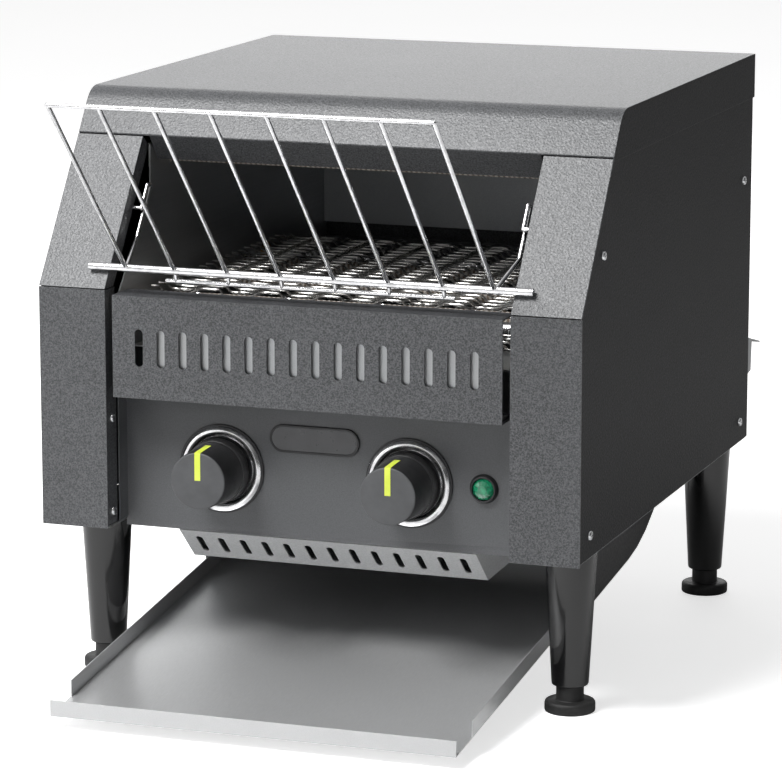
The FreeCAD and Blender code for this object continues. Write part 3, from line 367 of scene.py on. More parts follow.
@dataclass(frozen=True)
class ClearPlastic:
    """Tinted clear plastic, a little cloudy inside, for the pilot lamp."""

    name: str
    dark: Colour
    light: Colour

    def material(self) -> bpy.types.Material:
        """The finished material."""
        board = Board(self.name)
        board.set(transmission=0.35, ior=1.49, coat=0.6)
        cloud = board.noise(380.0, 3.0)
        board.feed("Base Color", board.ramp(cloud, [(0.35, self.dark), (0.65, self.light)]))
        board.feed("Roughness", board.spread(board.noise(600.0, 2.0), 0.06, 0.16))
        board.relief(board.cells(420.0), 0.15, 0.0003)
        return board.material


def outward(vertices: np.ndarray, faces: np.ndarray) -> np.ndarray:
    """Faces turned so that a closed shell points outwards.

    The signed volume is the sum over the quads, cut into triangles, of each corner's dot
    product with the cross product of the next two; if it is below zero every face turns.

    Args:
        vertices: (n, 3) places.
        faces: (m, 4) corner indices.

    Returns:
        The same faces, all turned round or left as they are.
    """
    a, b, c, d = (vertices[faces[:, index]] for index in range(4))
    volume = np.einsum("ij,ij->", a, np.cross(b, c)) + np.einsum("ij,ij->", a, np.cross(c, d))
    return faces[:, ::-1] if volume < 0 else faces


def grid_faces(rows: int, columns: int, wrap_rows: bool, wrap_columns: bool) -> np.ndarray:
    """Quads over a grid of points numbered row by row, closed round either way when asked."""
    row = np.arange(rows if wrap_rows else rows - 1)[:, None]
    column = np.arange(columns if wrap_columns else columns - 1)[None, :]
    next_row = (row + 1) % rows
    next_column = (column + 1) % columns
    corners = [row * columns + column, row * columns + next_column,
               next_row * columns + next_column, next_row * columns + column]
    return np.stack(np.broadcast_arrays(*corners), axis=-1).reshape(-1, 4)


def linked(name: str, data: bpy.types.ID) -> bpy.types.Object:
    """A new object that holds the data, linked into the scene."""
    made = bpy.data.objects.new(name, data)
    bpy.context.scene.collection.objects.link(made)
    return made


def weld(mesh: bpy.types.Mesh, flatten: bool = False) -> None:
    """Merges points that meet, so poles and seams are closed.

    Args:
        mesh: the mesh to mend.
        flatten: whether triangles of one flat face join up, instead of dropping empty edges.
    """
    work = bmesh.new()
    work.from_mesh(mesh)
    bmesh.ops.remove_doubles(work, verts=work.verts, dist=WELD_REACH)
    if flatten:
        bmesh.ops.dissolve_limit(work, angle_limit=math.radians(FLAT_DEGREES), verts=work.verts,
                                 edges=work.edges)
    else:
        bmesh.ops.dissolve_degenerate(work, edges=work.edges, dist=WELD_REACH)
    work.to_mesh(mesh)
    work.free()


def surfaced(mesh: bpy.types.Mesh, finish: bpy.types.Material, crease: float) -> None:
    """Gives a mesh its one material, and smooth faces but for edges bent past the crease, in degrees."""
    mesh.materials.clear()
    mesh.materials.append(finish)
    mesh.polygons.foreach_set("use_smooth", np.ones(len(mesh.polygons), dtype=bool))
    mesh.set_sharp_from_angle(angle=math.radians(crease))


def face_values(mesh: bpy.types.Mesh, kind: str) -> np.ndarray:
    """Each face's "normal" or "center", as an (n, 3) array."""
    values = np.empty(len(mesh.polygons) * 3)
    mesh.polygons.foreach_get(kind, values)
    return values.reshape(-1, 3)


def as_piece(name: str, vertices: np.ndarray, faces: np.ndarray, finish: bpy.types.Material,
             crease: float) -> bpy.types.Object:
    """A mesh object from whole arrays, smooth but for its creases.

    Args:
        name: the piece's name.
        vertices: (n, 3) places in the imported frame.
        faces: (m, 4) quads that already point outwards.
        finish: its material.
        crease: edges bent by more than this many degrees stay sharp.

    Returns:
        The linked object, at the origin.
    """
    mesh = bpy.data.meshes.new(name)
    mesh.from_pydata(vertices.tolist(), [], faces.tolist())
    weld(mesh)
    surfaced(mesh, finish, crease)
    return linked(name, mesh)


def turned(profile: np.ndarray, at: Point, axis: Point, segments: int = 64) -> Shell:
    """A profile carried round an axis.

    Each point is the axis point at the profile's distance, plus its radius times the cosine
    and sine of an even set of angles along two directions square to the axis.

    Args:
        profile: (n, 2) distance along the axis and radius; radius 0 at both ends closes it,
            and a profile whose last point repeats its first makes a ring.
        at: where the axis starts.
        axis: its direction.
        segments: how many steps go round.

    Returns:
        Vertices and outward faces.
    """
    along = np.array(axis, float) / np.linalg.norm(axis)
    helper = np.array((1.0, 0.0, 0.0)) if abs(along[0]) < 0.9 else np.array((0.0, 1.0, 0.0))
    first = np.cross(along, helper)
    first /= np.linalg.norm(first)
    second = np.cross(along, first)
    angle = np.linspace(0.0, 2 * np.pi, segments, endpoint=False)
    spokes = np.cos(angle)[:, None] * first + np.sin(angle)[:, None] * second
    points = (np.array(at, float) + profile[:, None, 0, None] * along
              + profile[:, None, 1, None] * spokes[None])
    vertices = points.reshape(-1, 3)
    return vertices, outward(vertices, grid_faces(len(profile), segments, False, True))


def rounded(corners: list[tuple[float, float, float]], steps: int = 4) -> np.ndarray:
    """A profile with its corners rounded.

    A corner with a round is replaced by points of the curve (1-t)^2 start + 2t(1-t) corner +
    t^2 end, whose ends lie one round away from the corner along its two sides.

    Args:
        corners: distance, radius and round of each corner, in order.
        steps: points in each round.

    Returns:
        (n, 2) distance and radius.
    """
    places = np.array([(a, r) for a, r, _ in corners], float)
    t = np.linspace(0.0, 1.0, steps + 1)[:, None]
    pieces = []
    for index, (_, _, ease) in enumerate(corners):
        here = places[index]
        if ease == 0 or index in (0, len(corners) - 1):
            pieces.append(here[None])
            continue
        back = places[index - 1] - here
        forth = places[index + 1] - here
        start = here + back / np.linalg.norm(back) * ease
        end = here + forth / np.linalg.norm(forth) * ease
        pieces.append((1 - t) ** 2 * start + 2 * t * (1 - t) * here + t ** 2 * end)
    return np.concatenate(pieces)


def tubes(paths: np.ndarray, radius: float, normals: np.ndarray, sides: int) -> Shell:
    """Round wires along many paths at once.

    The tangent is the difference of neighbouring points; a ring point is the path point plus
    the radius times cos(angle) normal + sin(angle) (tangent x normal). Each end closes on
    its own path point.

    Args:
        paths: (wires, points, 3).
        radius: the wire's radius.
        normals: (wires, points, 3), roughly square to the paths.
        sides: faces round each wire.

    Returns:
        Vertices and outward faces.
    """
    tangent = np.gradient(paths, axis=1)
    tangent /= np.linalg.norm(tangent, axis=2, keepdims=True)
    lift = normals - np.einsum("wpi,wpi->wp", normals, tangent)[..., None] * tangent
    lift /= np.linalg.norm(lift, axis=2, keepdims=True)
    across = np.cross(tangent, lift)
    angle = np.linspace(0.0, 2 * np.pi, sides, endpoint=False)
    ring = (paths[:, :, None] + radius * (np.cos(angle)[:, None] * lift[:, :, None]
                                          + np.sin(angle)[:, None] * across[:, :, None]))
    caps = np.repeat(paths[:, :, None], sides, axis=2)
    ring = np.concatenate([caps[:, :1], ring, caps[:, -1:]], axis=1)
    wires, points = ring.shape[:2]
    faces = grid_faces(points, sides, False, True)[None] + (np.arange(wires) * points * sides)[:, None, None]
    vertices = ring.reshape(-1, 3)
    return vertices, outward(vertices, faces.reshape(-1, 4))


def eased_sheet(node: bpy.types.Object, finish: bpy.types.Material, width: float,
                crease: float = 40.0) -> bpy.types.Object:
    """A packed sheet part with its cut edges eased.

    Args:
        node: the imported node.
        finish: its material.
        width: how far the bevel takes each edge back.
        crease: edges bent by more than this many degrees are eased.

    Returns:
        The new piece, which stands for the node.
    """
    name = node.name + "_sheet"
    mesh = node.data.copy()
    mesh.name = name
    weld(mesh, flatten=True)
    surfaced(mesh, finish, crease)
    piece = linked(name, mesh)
    bevel = piece.modifiers.new("eased", "BEVEL")
    bevel.width = width
    bevel.segments = 2
    bevel.limit_method = "ANGLE"
    bevel.angle_limit = math.radians(crease)
    bevel.harden_normals = True
    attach(piece, node["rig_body"])
    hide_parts(node.name)
    return piece


def joined(parts: list[Shell]) -> Shell:
    """Several shells as one mesh: vertices stacked, faces renumbered."""
    starts = np.cumsum([0] + [len(vertices) for vertices, _ in parts[:-1]])
    faces = [faces + start for (_, faces), start in zip(parts, starts)]
    return np.concatenate([vertices for vertices, _ in parts]), np.concatenate(faces)


def strap(path: np.ndarray, normals: np.ndarray, across: Point, width: float,
          thickness: float) -> Shell:
    """A flat strip along a path.

    Its four edges are the path plus or minus half the width across, and plus zero or the
    thickness along the normal; both ends close on the path.

    Args:
        path: (n, 3) places of its underside.
        normals: (n, 3) unit directions it rises in.
        across: direction of its width.
        width: how wide it is.
        thickness: how high it stands.

    Returns:
        Vertices and outward faces.
    """
    half = np.array(across, float) * width / 2
    rise = normals * thickness
    ring = np.stack([path - half, path + half, path + half + rise, path - half + rise], axis=1)
    start, end = (np.repeat(point[:, None], 4, axis=1) for point in (path[:1], path[-1:]))
    ring = np.concatenate([start, ring, end])
    vertices = ring.reshape(-1, 3)
    return vertices, outward(vertices, grid_faces(len(ring), 4, False, True))


class Finish(Enum):
    """Every finish of the object, named as the record's material slots are, and a darker copy of the
    charcoal coat that is painted shade for the sides.
    """

    CASING = PowderCoat("powder_charcoal", (0.020, 0.021, 0.023), (0.105, 0.108, 0.114), peel=760.0,
                        relief=0.55, roughness=(0.36, 0.50))
    # A darker, less glossy copy of the charcoal coat: painted shade for the side panels and the hood's
    # flanks, which are of the same coat.
    SIDE = PowderCoat("powder_side", (0.006, 0.006, 0.007), (0.017, 0.017, 0.018), peel=760.0,
                      relief=0.4, roughness=(0.45, 0.58), specular=0.12)
    PANEL = PowderCoat("panel_grey", (0.075, 0.077, 0.082), (0.100, 0.103, 0.108), peel=1100.0,
                       relief=0.10, roughness=(0.36, 0.46))
    LOWER_VENT = PowderCoat("vent_grey", (0.36, 0.365, 0.37), (0.46, 0.465, 0.47), relief=0.2)
    CHUTE = PowderCoat("chute_black", (0.012, 0.012, 0.013), (0.028, 0.028, 0.030), relief=0.2)
    MOTOR_IRON = PowderCoat("motor_iron", (0.02, 0.02, 0.022), (0.05, 0.05, 0.052))
    GALVANISED = BrushedMetal("galvanised", (0.30, 0.31, 0.32), (0.44, 0.45, 0.46), Grain.ALONG_Y,
                              (0.34, 0.55), stain=0.12)
    STEEL = BrushedMetal("steel", (0.46, 0.46, 0.47), (0.62, 0.62, 0.63), Grain.ALONG_X, (0.2, 0.36))
    TRAY = BrushedMetal("tray_steel", (0.54, 0.545, 0.55), (0.62, 0.625, 0.63), Grain.ALONG_Y,
                        (0.36, 0.44), relief=0.03, metallic=0.72)
    BELT = BrushedMetal("belt_steel", (0.42, 0.41, 0.40), (0.66, 0.65, 0.63), Grain.ALONG_X,
                        (0.2, 0.35), stain=0.25)
    GEAR_CASE = BrushedMetal("gear_case", (0.36, 0.36, 0.36), (0.5, 0.5, 0.5), Grain.ALONG_Z, (0.4, 0.6))
    BRONZE = BrushedMetal("bronze", (0.34, 0.21, 0.09), (0.5, 0.33, 0.15), Grain.ALONG_Z, (0.3, 0.5))
    RACK = Polished("rack_chrome", (0.82, 0.82, 0.83), (0.62, 0.62, 0.63))
    RING = Polished("bright_ring", (0.80, 0.80, 0.81), (0.60, 0.60, 0.61), (0.12, 0.26))
    SCREW = Polished("screw_zinc", (0.72, 0.73, 0.74), (0.50, 0.51, 0.52), (0.14, 0.3))
    BLACK = Moulded("black_plastic", (0.010, 0.010, 0.011), (0.024, 0.024, 0.026))
    KNOB = Moulded("knob_plastic", (0.010, 0.010, 0.011), (0.022, 0.022, 0.023), roughness=(0.34, 0.46))
    KNOB_FACE = Moulded("knob_face", (0.055, 0.056, 0.060), (0.075, 0.077, 0.081), grain=3200.0,
                        roughness=(0.42, 0.56))
    POINTER = Moulded("pointer_green", (0.56, 0.66, 0.05), (0.66, 0.76, 0.09), coat=0.2)
    CONTROL = Moulded("control_case", (0.012, 0.012, 0.013), (0.03, 0.03, 0.032))
    BADGE = Moulded("badge_black", (0.030, 0.031, 0.034), (0.048, 0.049, 0.053), roughness=(0.25, 0.4),
                    coat=0.3)
    FOOT = Moulded("foot_black", (0.008, 0.008, 0.008), (0.022, 0.022, 0.022), relief=0.35,
                   roughness=(0.5, 0.7))
    LEG = Moulded("leg_black", (0.003, 0.003, 0.0033), (0.006, 0.006, 0.0065), relief=0.03,
                  roughness=(0.10, 0.2), coat=0.4)
    TERMINAL = Moulded("terminal_white", (0.62, 0.61, 0.57), (0.74, 0.73, 0.70), roughness=(0.25, 0.4))
    CERAMIC = Moulded("ceramic", (0.60, 0.57, 0.50), (0.76, 0.74, 0.68), grain=1500.0, roughness=(0.3, 0.5))
    ELEMENT = Banded("heater_glass", (0.22, 0.17, 0.13), (0.62, 0.58, 0.53), 0.0035)
    CHAIN = Banded("chain_steel", (0.05, 0.05, 0.05), (0.34, 0.33, 0.32), 0.008, "Z", 1.0, (0.3, 0.5))
    LENS = ClearPlastic("lens_green", (0.01, 0.22, 0.10), (0.03, 0.50, 0.24))


@dataclass
class Workshop:
    """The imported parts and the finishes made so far."""

    nodes: dict[str, bpy.types.Object]
    made: dict[Finish, bpy.types.Material] = field(default_factory=dict)

    def finish(self, choice: Finish) -> bpy.types.Material:
        """The material of a finish, made once."""
        if choice not in self.made:
            self.made[choice] = choice.value.material()
        return self.made[choice]

    def coat(self, choice: Finish, *names: str) -> None:
        """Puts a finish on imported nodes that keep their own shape."""
        for name in names:
            self.nodes[name].material_slots[0].material = self.finish(choice)
            log.info("%s finished in %s", name, choice.value.name)

    def sheet(self, choice: Finish, *names: str, width: float = 0.0004, slot: str = "",
              flanks: Finish | None = None) -> None:
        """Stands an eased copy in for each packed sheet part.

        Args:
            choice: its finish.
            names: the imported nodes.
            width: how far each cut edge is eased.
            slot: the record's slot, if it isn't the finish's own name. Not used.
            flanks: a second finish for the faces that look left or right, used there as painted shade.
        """
        for name in names:
            piece = eased_sheet(self.nodes[name], self.finish(choice), width)
            if flanks:
                sideways = np.abs(face_values(piece.data, "normal")[:, 0])
                self.part_faces(piece, flanks, sideways > FLANK_NORMAL)
            log.info("%s eased and finished in %s", name, choice.value.name)

    def part_faces(self, piece: bpy.types.Object, choice: Finish, chosen: np.ndarray) -> None:
        """Gives the chosen faces, one true or false for each, a second finish."""
        piece.data.materials.append(self.finish(choice))
        piece.data.polygons.foreach_set("material_index", chosen.astype(np.int32))

    def mount(self, name: str, shell: Shell, choice: Finish, node: str,
              crease: float = 32.0, stands_in: bool = True, slot: str = "") -> bpy.types.Object:
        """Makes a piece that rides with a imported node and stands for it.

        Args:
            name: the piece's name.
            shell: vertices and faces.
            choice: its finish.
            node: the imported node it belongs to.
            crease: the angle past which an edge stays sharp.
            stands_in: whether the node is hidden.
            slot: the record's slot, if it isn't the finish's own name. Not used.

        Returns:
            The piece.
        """
        piece = as_piece(name, *shell, self.finish(choice), crease)
        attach(piece, self.nodes[node]["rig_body"])
        if stands_in:
            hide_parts(node)
        log.info("%s made for %s: %d faces", name, node, len(piece.data.polygons))
        return piece


def at_front(x: float, back: float, height: float) -> Point:
    """A place counted from the front faces of the columns."""
    return (x, FRONT_PLANE + back, height)


@dataclass
class Casing:
    """The painted shell: sides, hood, columns, panels and their screws."""

    shop: Workshop
    half_width: float = 0.184
    screw_radius: float = 0.0032
    screw_rise: float = 0.0018
    side_screws: tuple[Span, ...] = ((0.024, 0.1243), (0.0474, 0.2992), (0.394, 0.1243), (0.394, 0.2992))
    rear_screws: tuple[Span, ...] = ((0.1697, 0.1283), (0.1697, 0.230), (0.1697, 0.340))
    rear_face: float = 0.4167
    column_screws: tuple[Span, ...] = ((0.009, 0.1186), (0.009, 0.1806))
    window_half: float = 0.1375

    def build(self) -> None:
        """Makes the screw heads."""
        places = [(at_front(side.value * (self.half_width - 0.001), y, z), (side.value, 0.0, 0.0))
                  for side in Side for y, z in self.side_screws]
        places += [(at_front(side.value * x, self.rear_face, z), (0.0, 1.0, 0.0))
                   for side in Side for x, z in self.rear_screws]
        places += [(at_front(side.value * self.window_half, y, z), (-side.value, 0.0, 0.0))
                   for side in Side for y, z in self.column_screws]
        heads = joined([self.head(at, axis) for at, axis in places])
        self.shop.mount("casing_screw_heads", heads, Finish.SCREW, "casing_screws")
        # Dark bars over each head's cross stand in for the shade inside the recess: painted shade.
        cross_shade = joined([self.cross(at, axis) for at, axis in places])
        self.shop.mount("casing_screw_crosses", cross_shade, Finish.CONTROL, "casing_screws",
                        stands_in=False)

    def head(self, at: Point, axis: Point) -> Shell:
        """One pan head on its stem, turned from its profile."""
        rise, radius = self.screw_rise, self.screw_radius
        profile = rounded([(-0.005, 0.0, 0), (-0.005, 0.0015, 0), (0.0, 0.0015, 0), (0.0, radius, 0.0001),
                           (rise, radius * 0.9, 0.001), (rise, 0.0, 0)])
        return turned(profile, at, axis, 28)

    def cross(self, at: Point, axis: Point) -> Shell:
        """The cross in a screw head as painted shade: two thin dark bars just proud of it, where the recess
        would lie in shade.
        """
        out = np.array(axis)
        first = np.array((0.0, 0.0, 1.0))
        second = np.cross(out, first)
        top = np.array(at) + out * (self.screw_rise - 0.0002)
        reach = np.array([-1.0, 1.0])[:, None] * 0.0017
        rise = np.repeat(out[None], 2, axis=0)
        return joined([strap(top + reach * first, rise, tuple(second), 0.0006, 0.00022),
                       strap(top + reach * second, rise, tuple(first), 0.0006, 0.00022)])

    def dress(self) -> None:
        """Eases and paints the plates."""
        # The side panels are the same charcoal coat as the rest; the darker side finish on them and on the
        # hood's flanks is painted shade.
        self.shop.sheet(Finish.SIDE, "side_panel_left", "side_panel_right", width=0.0003,
                        slot="powder_charcoal")
        self.shop.sheet(Finish.CASING, "rear_panel", width=0.0003)
        self.shop.sheet(Finish.CASING, "top_hood", flanks=Finish.SIDE)
        self.shop.sheet(Finish.CASING, "front_post_left", "front_post_right",
                        "slope_plate_left", "slope_plate_right", "window_header", "vent_panel")
        self.shop.sheet(Finish.PANEL, "control_panel", width=0.0003)
        self.shop.sheet(Finish.LOWER_VENT, "lower_vent", width=0.0003)
        self.shop.sheet(Finish.GALVANISED, "rear_spacers", width=0.0002)
        self.shop.coat(Finish.GALVANISED, "base_plate", "vent_baffle")
        self.shop.coat(Finish.BLACK, "cable_gland")


@dataclass
class Dial:
    """One dial: knob with a grey face, its pointer, the bright ring and the black back ring."""

    shop: Workshop
    side: Side
    middle: float
    stand_off: float = 0.005
    skirt_radius: float = 0.021
    skirt_depth: float = 0.009
    grip_radius: float = 0.0202
    face_radius: float = 0.0187
    length: float = 0.037
    face_depth: float = 0.0006

    @property
    def front(self) -> float:
        """How far back the knob's flat end lies."""
        return FRONT_PLANE + PANEL_RECESS - self.stand_off - self.length

    def build(self) -> None:
        """Turns the knob, lays the pointer on it and turns the two rings."""
        label = self.side.label
        back = at_front(self.middle, PANEL_RECESS - self.stand_off, CONTROL_HEIGHT)
        profile = rounded([(0.0, 0.0, 0), (0.0, self.skirt_radius, 0.0006),
                           (self.skirt_depth, self.skirt_radius, 0.0008),
                           (self.skirt_depth, self.grip_radius, 0), (self.length, self.face_radius, 0.0012),
                           (self.length, 0.0, 0)])
        knob = self.shop.mount(f"knob_turned_{label}", turned(profile, back, TOWARD, 96), Finish.KNOB,
                               f"knob_{label}")
        grey = face_values(knob.data, "center")[:, 1] < self.front + self.face_depth
        self.shop.part_faces(knob, Finish.KNOB_FACE, grey)
        self.shop.mount(f"pointer_mark_{label}", self.pointer(), Finish.POINTER, f"knob_pointer_{label}")
        seat = at_front(self.middle, PANEL_RECESS, CONTROL_HEIGHT)
        black = rounded([(0.0, 0.0195, 0), (0.0, 0.0295, 0.0002), (0.0016, 0.0295, 0.0005),
                         (0.0016, 0.0195, 0.0002), (0.0, 0.0195, 0)])
        self.rings = turned(black, seat, TOWARD, 96)
        front = at_front(self.middle, PANEL_RECESS - 0.0016, CONTROL_HEIGHT)
        bright = rounded([(0.0, 0.0215, 0), (0.0, 0.0283, 0.0002), (0.0012, 0.0281, 0.0004),
                          (0.0026, 0.0262, 0.0004), (0.0025, 0.0246, 0.0005), (0.0008, 0.0219, 0.0003),
                          (0.0, 0.0215, 0)])
        self.shop.mount(f"ring_turned_{label}", turned(bright, front, TOWARD, 96), Finish.RING,
                        f"dial_ring_{label}")

    def pointer(self) -> Shell:
        """The pointer: a strip from the middle of the face, over the rim and down the grip."""
        slant = (self.grip_radius - self.face_radius) / (self.length - self.skirt_depth)
        radius = np.array([0.0006, self.face_radius - 0.0012, self.face_radius - 0.0003,
                           self.face_radius + 0.0001, self.face_radius + 0.019 * slant])
        place = np.array([0.0, 0.0, 0.0003, 0.0012, 0.019])
        path = np.stack([np.full(5, self.middle), self.front + place, CONTROL_HEIGHT + radius], axis=1)
        path += np.array((0.0, 0.00005, -0.00005))
        normals = np.array([(0.0, -1.0, 0.0), (0.0, -1.0, 0.0), (0.0, -0.707, 0.707),
                            (0.0, 0.0, 1.0), (0.0, 0.0, 1.0)])
        return strap(path, normals, (1.0, 0.0, 0.0), 0.004, 0.00018)

    def dress(self) -> None:
        """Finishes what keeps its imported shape."""
        self.shop.coat(Finish.STEEL, f"dial_spindle_{self.side.label}")


@dataclass
class Front:
    """The lamp, the badge plate, the switch bodies behind the panel and the feed rack above it."""

    shop: Workshop
    lamp_side: float = 0.111
    badge_middle: Span = (-0.0042, 0.1708)
    badge_size: Span = (0.062, 0.0185)
    badge_level: float = 0.0012

    def build(self) -> None:
        """Turns the lamp and lays the blank badge plate with its rim."""
        seat = at_front(self.lamp_side, PANEL_RECESS, CONTROL_HEIGHT)
        bezel = rounded([(-0.022, 0.0, 0), (-0.022, 0.006, 0.0004), (0.0, 0.006, 0), (0.0, 0.0098, 0.0003),
                         (0.0032, 0.0084, 0.0007), (0.0032, 0.0074, 0.0002), (0.0008, 0.0073, 0),
                         (0.0008, 0.0, 0)])
        self.shop.mount("lamp_bezel_turned", turned(bezel, seat, TOWARD, 48), Finish.BLACK, "lamp_bezel")
        jewel = np.array([(0.0008, 0.0), (0.0008, 0.0072), (0.0020, 0.0072), (0.0037, 0.0056),
                          (0.0052, 0.0030), (0.0054, 0.0)])
        self.shop.mount("lamp_jewel", turned(jewel, seat, TOWARD, 12), Finish.LENS, "lamp_lens",
                        crease=4.0)
        badge = self.shop.mount("badge_blank", self.badge(), Finish.BLACK, "badge_plate", slot="badge_black")
        level = FRONT_PLANE + PANEL_RECESS - self.badge_level
        inner = np.abs(face_values(badge.data, "center")[:, 1] - level) < 0.00001
        self.shop.part_faces(badge, Finish.BADGE, inner)

    def badge(self) -> Shell:
        """The badge: an obround outline carried through the steps of a raised rim.

        Each ring is the same two half circles, with their radius drawn in by an inset, at its
        own height off the panel; the middle of the plate lies a little below the rim.
        """
        length, height = self.badge_size
        angle = np.linspace(-np.pi / 2, np.pi / 2, 17)
        run = length / 2 - height / 2
        across = np.concatenate([np.cos(angle), -np.cos(angle)])
        up = np.concatenate([np.sin(angle), -np.sin(angle)])
        shift = np.concatenate([np.full(17, run), np.full(17, -run)])
        low, high = self.badge_level, self.badge_level + 0.0004
        steps = np.array([(0.0, 0.0), (0.0, low), (0.0003, high), (0.0013, high), (0.0016, low)])
        radius = height / 2 - steps[:, :1]
        x = self.badge_middle[0] + shift + radius * across
        z = self.badge_middle[1] + radius * up
        y = np.broadcast_to(FRONT_PLANE + PANEL_RECESS - steps[:, 1:], x.shape)
        rings = np.stack([x, y, z], axis=2)
        ends = rings[[0, -1]]
        ends[:, :, 2] = self.badge_middle[1]
        rings = np.concatenate([ends[:1], rings, ends[1:]])
        vertices = rings.reshape(-1, 3)
        return vertices, outward(vertices, grid_faces(len(rings), 34, False, True))

    def dress(self) -> None:
        """Finishes the switch bodies and chromes the rack's wires."""
        self.shop.coat(Finish.CONTROL, "speed_control", "heat_selector")
        self.shop.coat(Finish.RACK, "feed_rack")


@dataclass
class Belt:
    """The wire belt: cranked wires hooked into each other round both shafts, and the drive."""

    shop: Workshop
    top: float = 0.2625
    front: float = 0.050
    length: float = 0.226
    radius: float = 0.0150
    half_width: float = 0.1262
    wires: int = 46
    cranks: int = 6
    wire: float = 0.00085
    points: int = 97
    inset: float = 0.0012
    steepness: float = 2.6
    hook: float = 1.1
    ripple: float = 0.00032

    def track(self, travel: np.ndarray) -> Shell:
        """Places and outward directions on the closed track.

        The track is two straights joined by two half circles. On a straight the place moves
        evenly; on a half circle the angle is the distance into it over the radius.

        Args:
            travel: distances along the belt, any shape.

        Returns:
            Two arrays one axis longer, of (y, z) and of the outward (y, z).
        """
        radius = self.radius - self.inset
        bend = np.pi * radius
        loop = 2 * self.length + 2 * bend
        s = np.mod(travel, loop)
        angle_back = np.clip((s - self.length) / radius, 0.0, np.pi)
        angle_front = np.clip((s - 2 * self.length - bend) / radius, 0.0, np.pi)
        normal_angle = np.pi / 2 - angle_back - angle_front
        normal = np.stack([np.cos(normal_angle), np.sin(normal_angle)], axis=-1)
        forward = np.clip(s, 0.0, self.length) - np.clip(s - self.length - bend, 0.0, self.length)
        middle = np.stack([FRONT_PLANE + self.front + forward,
                           np.full_like(s, self.top - self.radius)], axis=-1)
        return middle + radius * normal, normal

    def build(self) -> None:
        """Bends every wire at once.

        Across the belt each wire follows a trapezoid wave: a triangle wave made steeper and
        clipped to plus or minus one, times half the pitch and a little more, so that each
        wire's flats hook over the next one's.
        """
        loop = 2 * self.length + 2 * np.pi * (self.radius - self.inset)
        pitch = loop / self.wires
        x = np.linspace(-self.half_width, self.half_width, self.points)
        phase = (x + self.half_width) / (2 * self.half_width) * self.cranks
        wave = np.clip(self.steepness * (2 * np.abs(2 * np.mod(phase, 1.0) - 1.0) - 1.0), -1.0, 1.0)
        reach = pitch / 2 + self.wire * self.hook
        travel = (np.arange(self.wires)[:, None] + 0.5) * pitch + wave[None] * reach
        place, normal = self.track(travel)
        place = place + normal * (self.ripple * wave)[None, :, None]
        across = np.broadcast_to(x, travel.shape)
        paths = np.concatenate([across[..., None], place], axis=-1)
        normals = np.concatenate([np.zeros((*travel.shape, 1)), normal], axis=-1)
        self.shop.mount("belt_wires", tubes(paths, self.wire, normals, 6), Finish.BELT, "conveyor_belt",
                        crease=60.0)

    def dress(self) -> None:
        """Finishes shafts, wheels, bushes and the drive."""
        self.shop.coat(Finish.STEEL, "belt_shaft_front", "belt_shaft_rear", "belt_wheels_front",
                       "belt_wheels_rear", "driven_sprocket", "motor_sprocket", "motor_shaft")
        self.shop.coat(Finish.BRONZE, "shaft_bushes")
        self.shop.coat(Finish.CHAIN, "drive_chain")
        self.shop.coat(Finish.GEAR_CASE, "motor_gearbox")
        self.shop.coat(Finish.MOTOR_IRON, "motor_frame")


@dataclass
class Oven:
    """The toasting chamber with its heaters, and the chute and tray that carry the toast out."""

    shop: Workshop

    def build(self) -> None:
        """Eases the folded steel of the tray and chute."""
        self.shop.sheet(Finish.TRAY, "toast_tray", width=0.0002)
        self.shop.sheet(Finish.CHUTE, "toast_chute", width=0.0003)

    def dress(self) -> None:
        """Finishes the chamber's sheets, tubes and caps."""
        self.shop.coat(Finish.GALVANISED, "oven_wall_left", "oven_wall_right", "ceiling_reflector",
                       "control_shield")
        self.shop.coat(Finish.ELEMENT, "upper_heaters", "lower_heaters")
        self.shop.coat(Finish.CERAMIC, "heater_caps")
        self.shop.coat(Finish.TERMINAL, "terminal_block")


@dataclass
class Legs:
    """Four tapered legs, each with a screw foot."""

    shop: Workshop
    side: float = 0.162
    front: float = 0.054
    back: float = 0.384
    base: float = 0.1083
    bottom: float = 0.0175
    low_radius: float = 0.012
    high_radius: float = 0.017
    foot_radius: float = 0.0165
    disc: float = 0.0075
    neck: float = 0.009
    thread_radius: float = 0.004
    thread_length: float = 0.030

    def build(self) -> None:
        """Turns the legs as one piece and each foot as its own."""
        rise = self.base - self.bottom
        leg = rounded([(0.0, 0.0, 0), (0.0, self.low_radius, 0.0016), (rise, self.high_radius, 0.0004),
                       (rise, 0.0, 0)])
        places = {f"{end}_{side.label}": (side.value * self.side, y)
                  for side in Side for end, y in (("front", self.front), ("rear", self.back))}
        shells = [turned(leg, at_front(x, y, self.bottom), UP) for x, y in places.values()]
        self.shop.mount("legs_turned", joined(shells), Finish.LEG, "legs")
        stem = self.bottom - 0.0003
        top, thread = stem + self.thread_length, self.thread_radius
        foot = rounded([(0.0, 0.0, 0), (0.0, self.foot_radius, 0.0014),
                        (self.disc, self.foot_radius, 0.0024), (self.disc, self.neck, 0.0008),
                        (stem, self.neck, 0.0005), (stem, thread, 0.0002), (top, thread, 0.0004),
                        (top, 0.0, 0)])
        for name, (x, y) in places.items():
            self.shop.mount(f"foot_turned_{name}", turned(foot, at_front(x, y, 0.0), UP), Finish.FOOT,
                            f"foot_{name}")

    def dress(self) -> None:
        """Finishes the bolts that hold the legs."""
        self.shop.coat(Finish.SCREW, "leg_bolts")


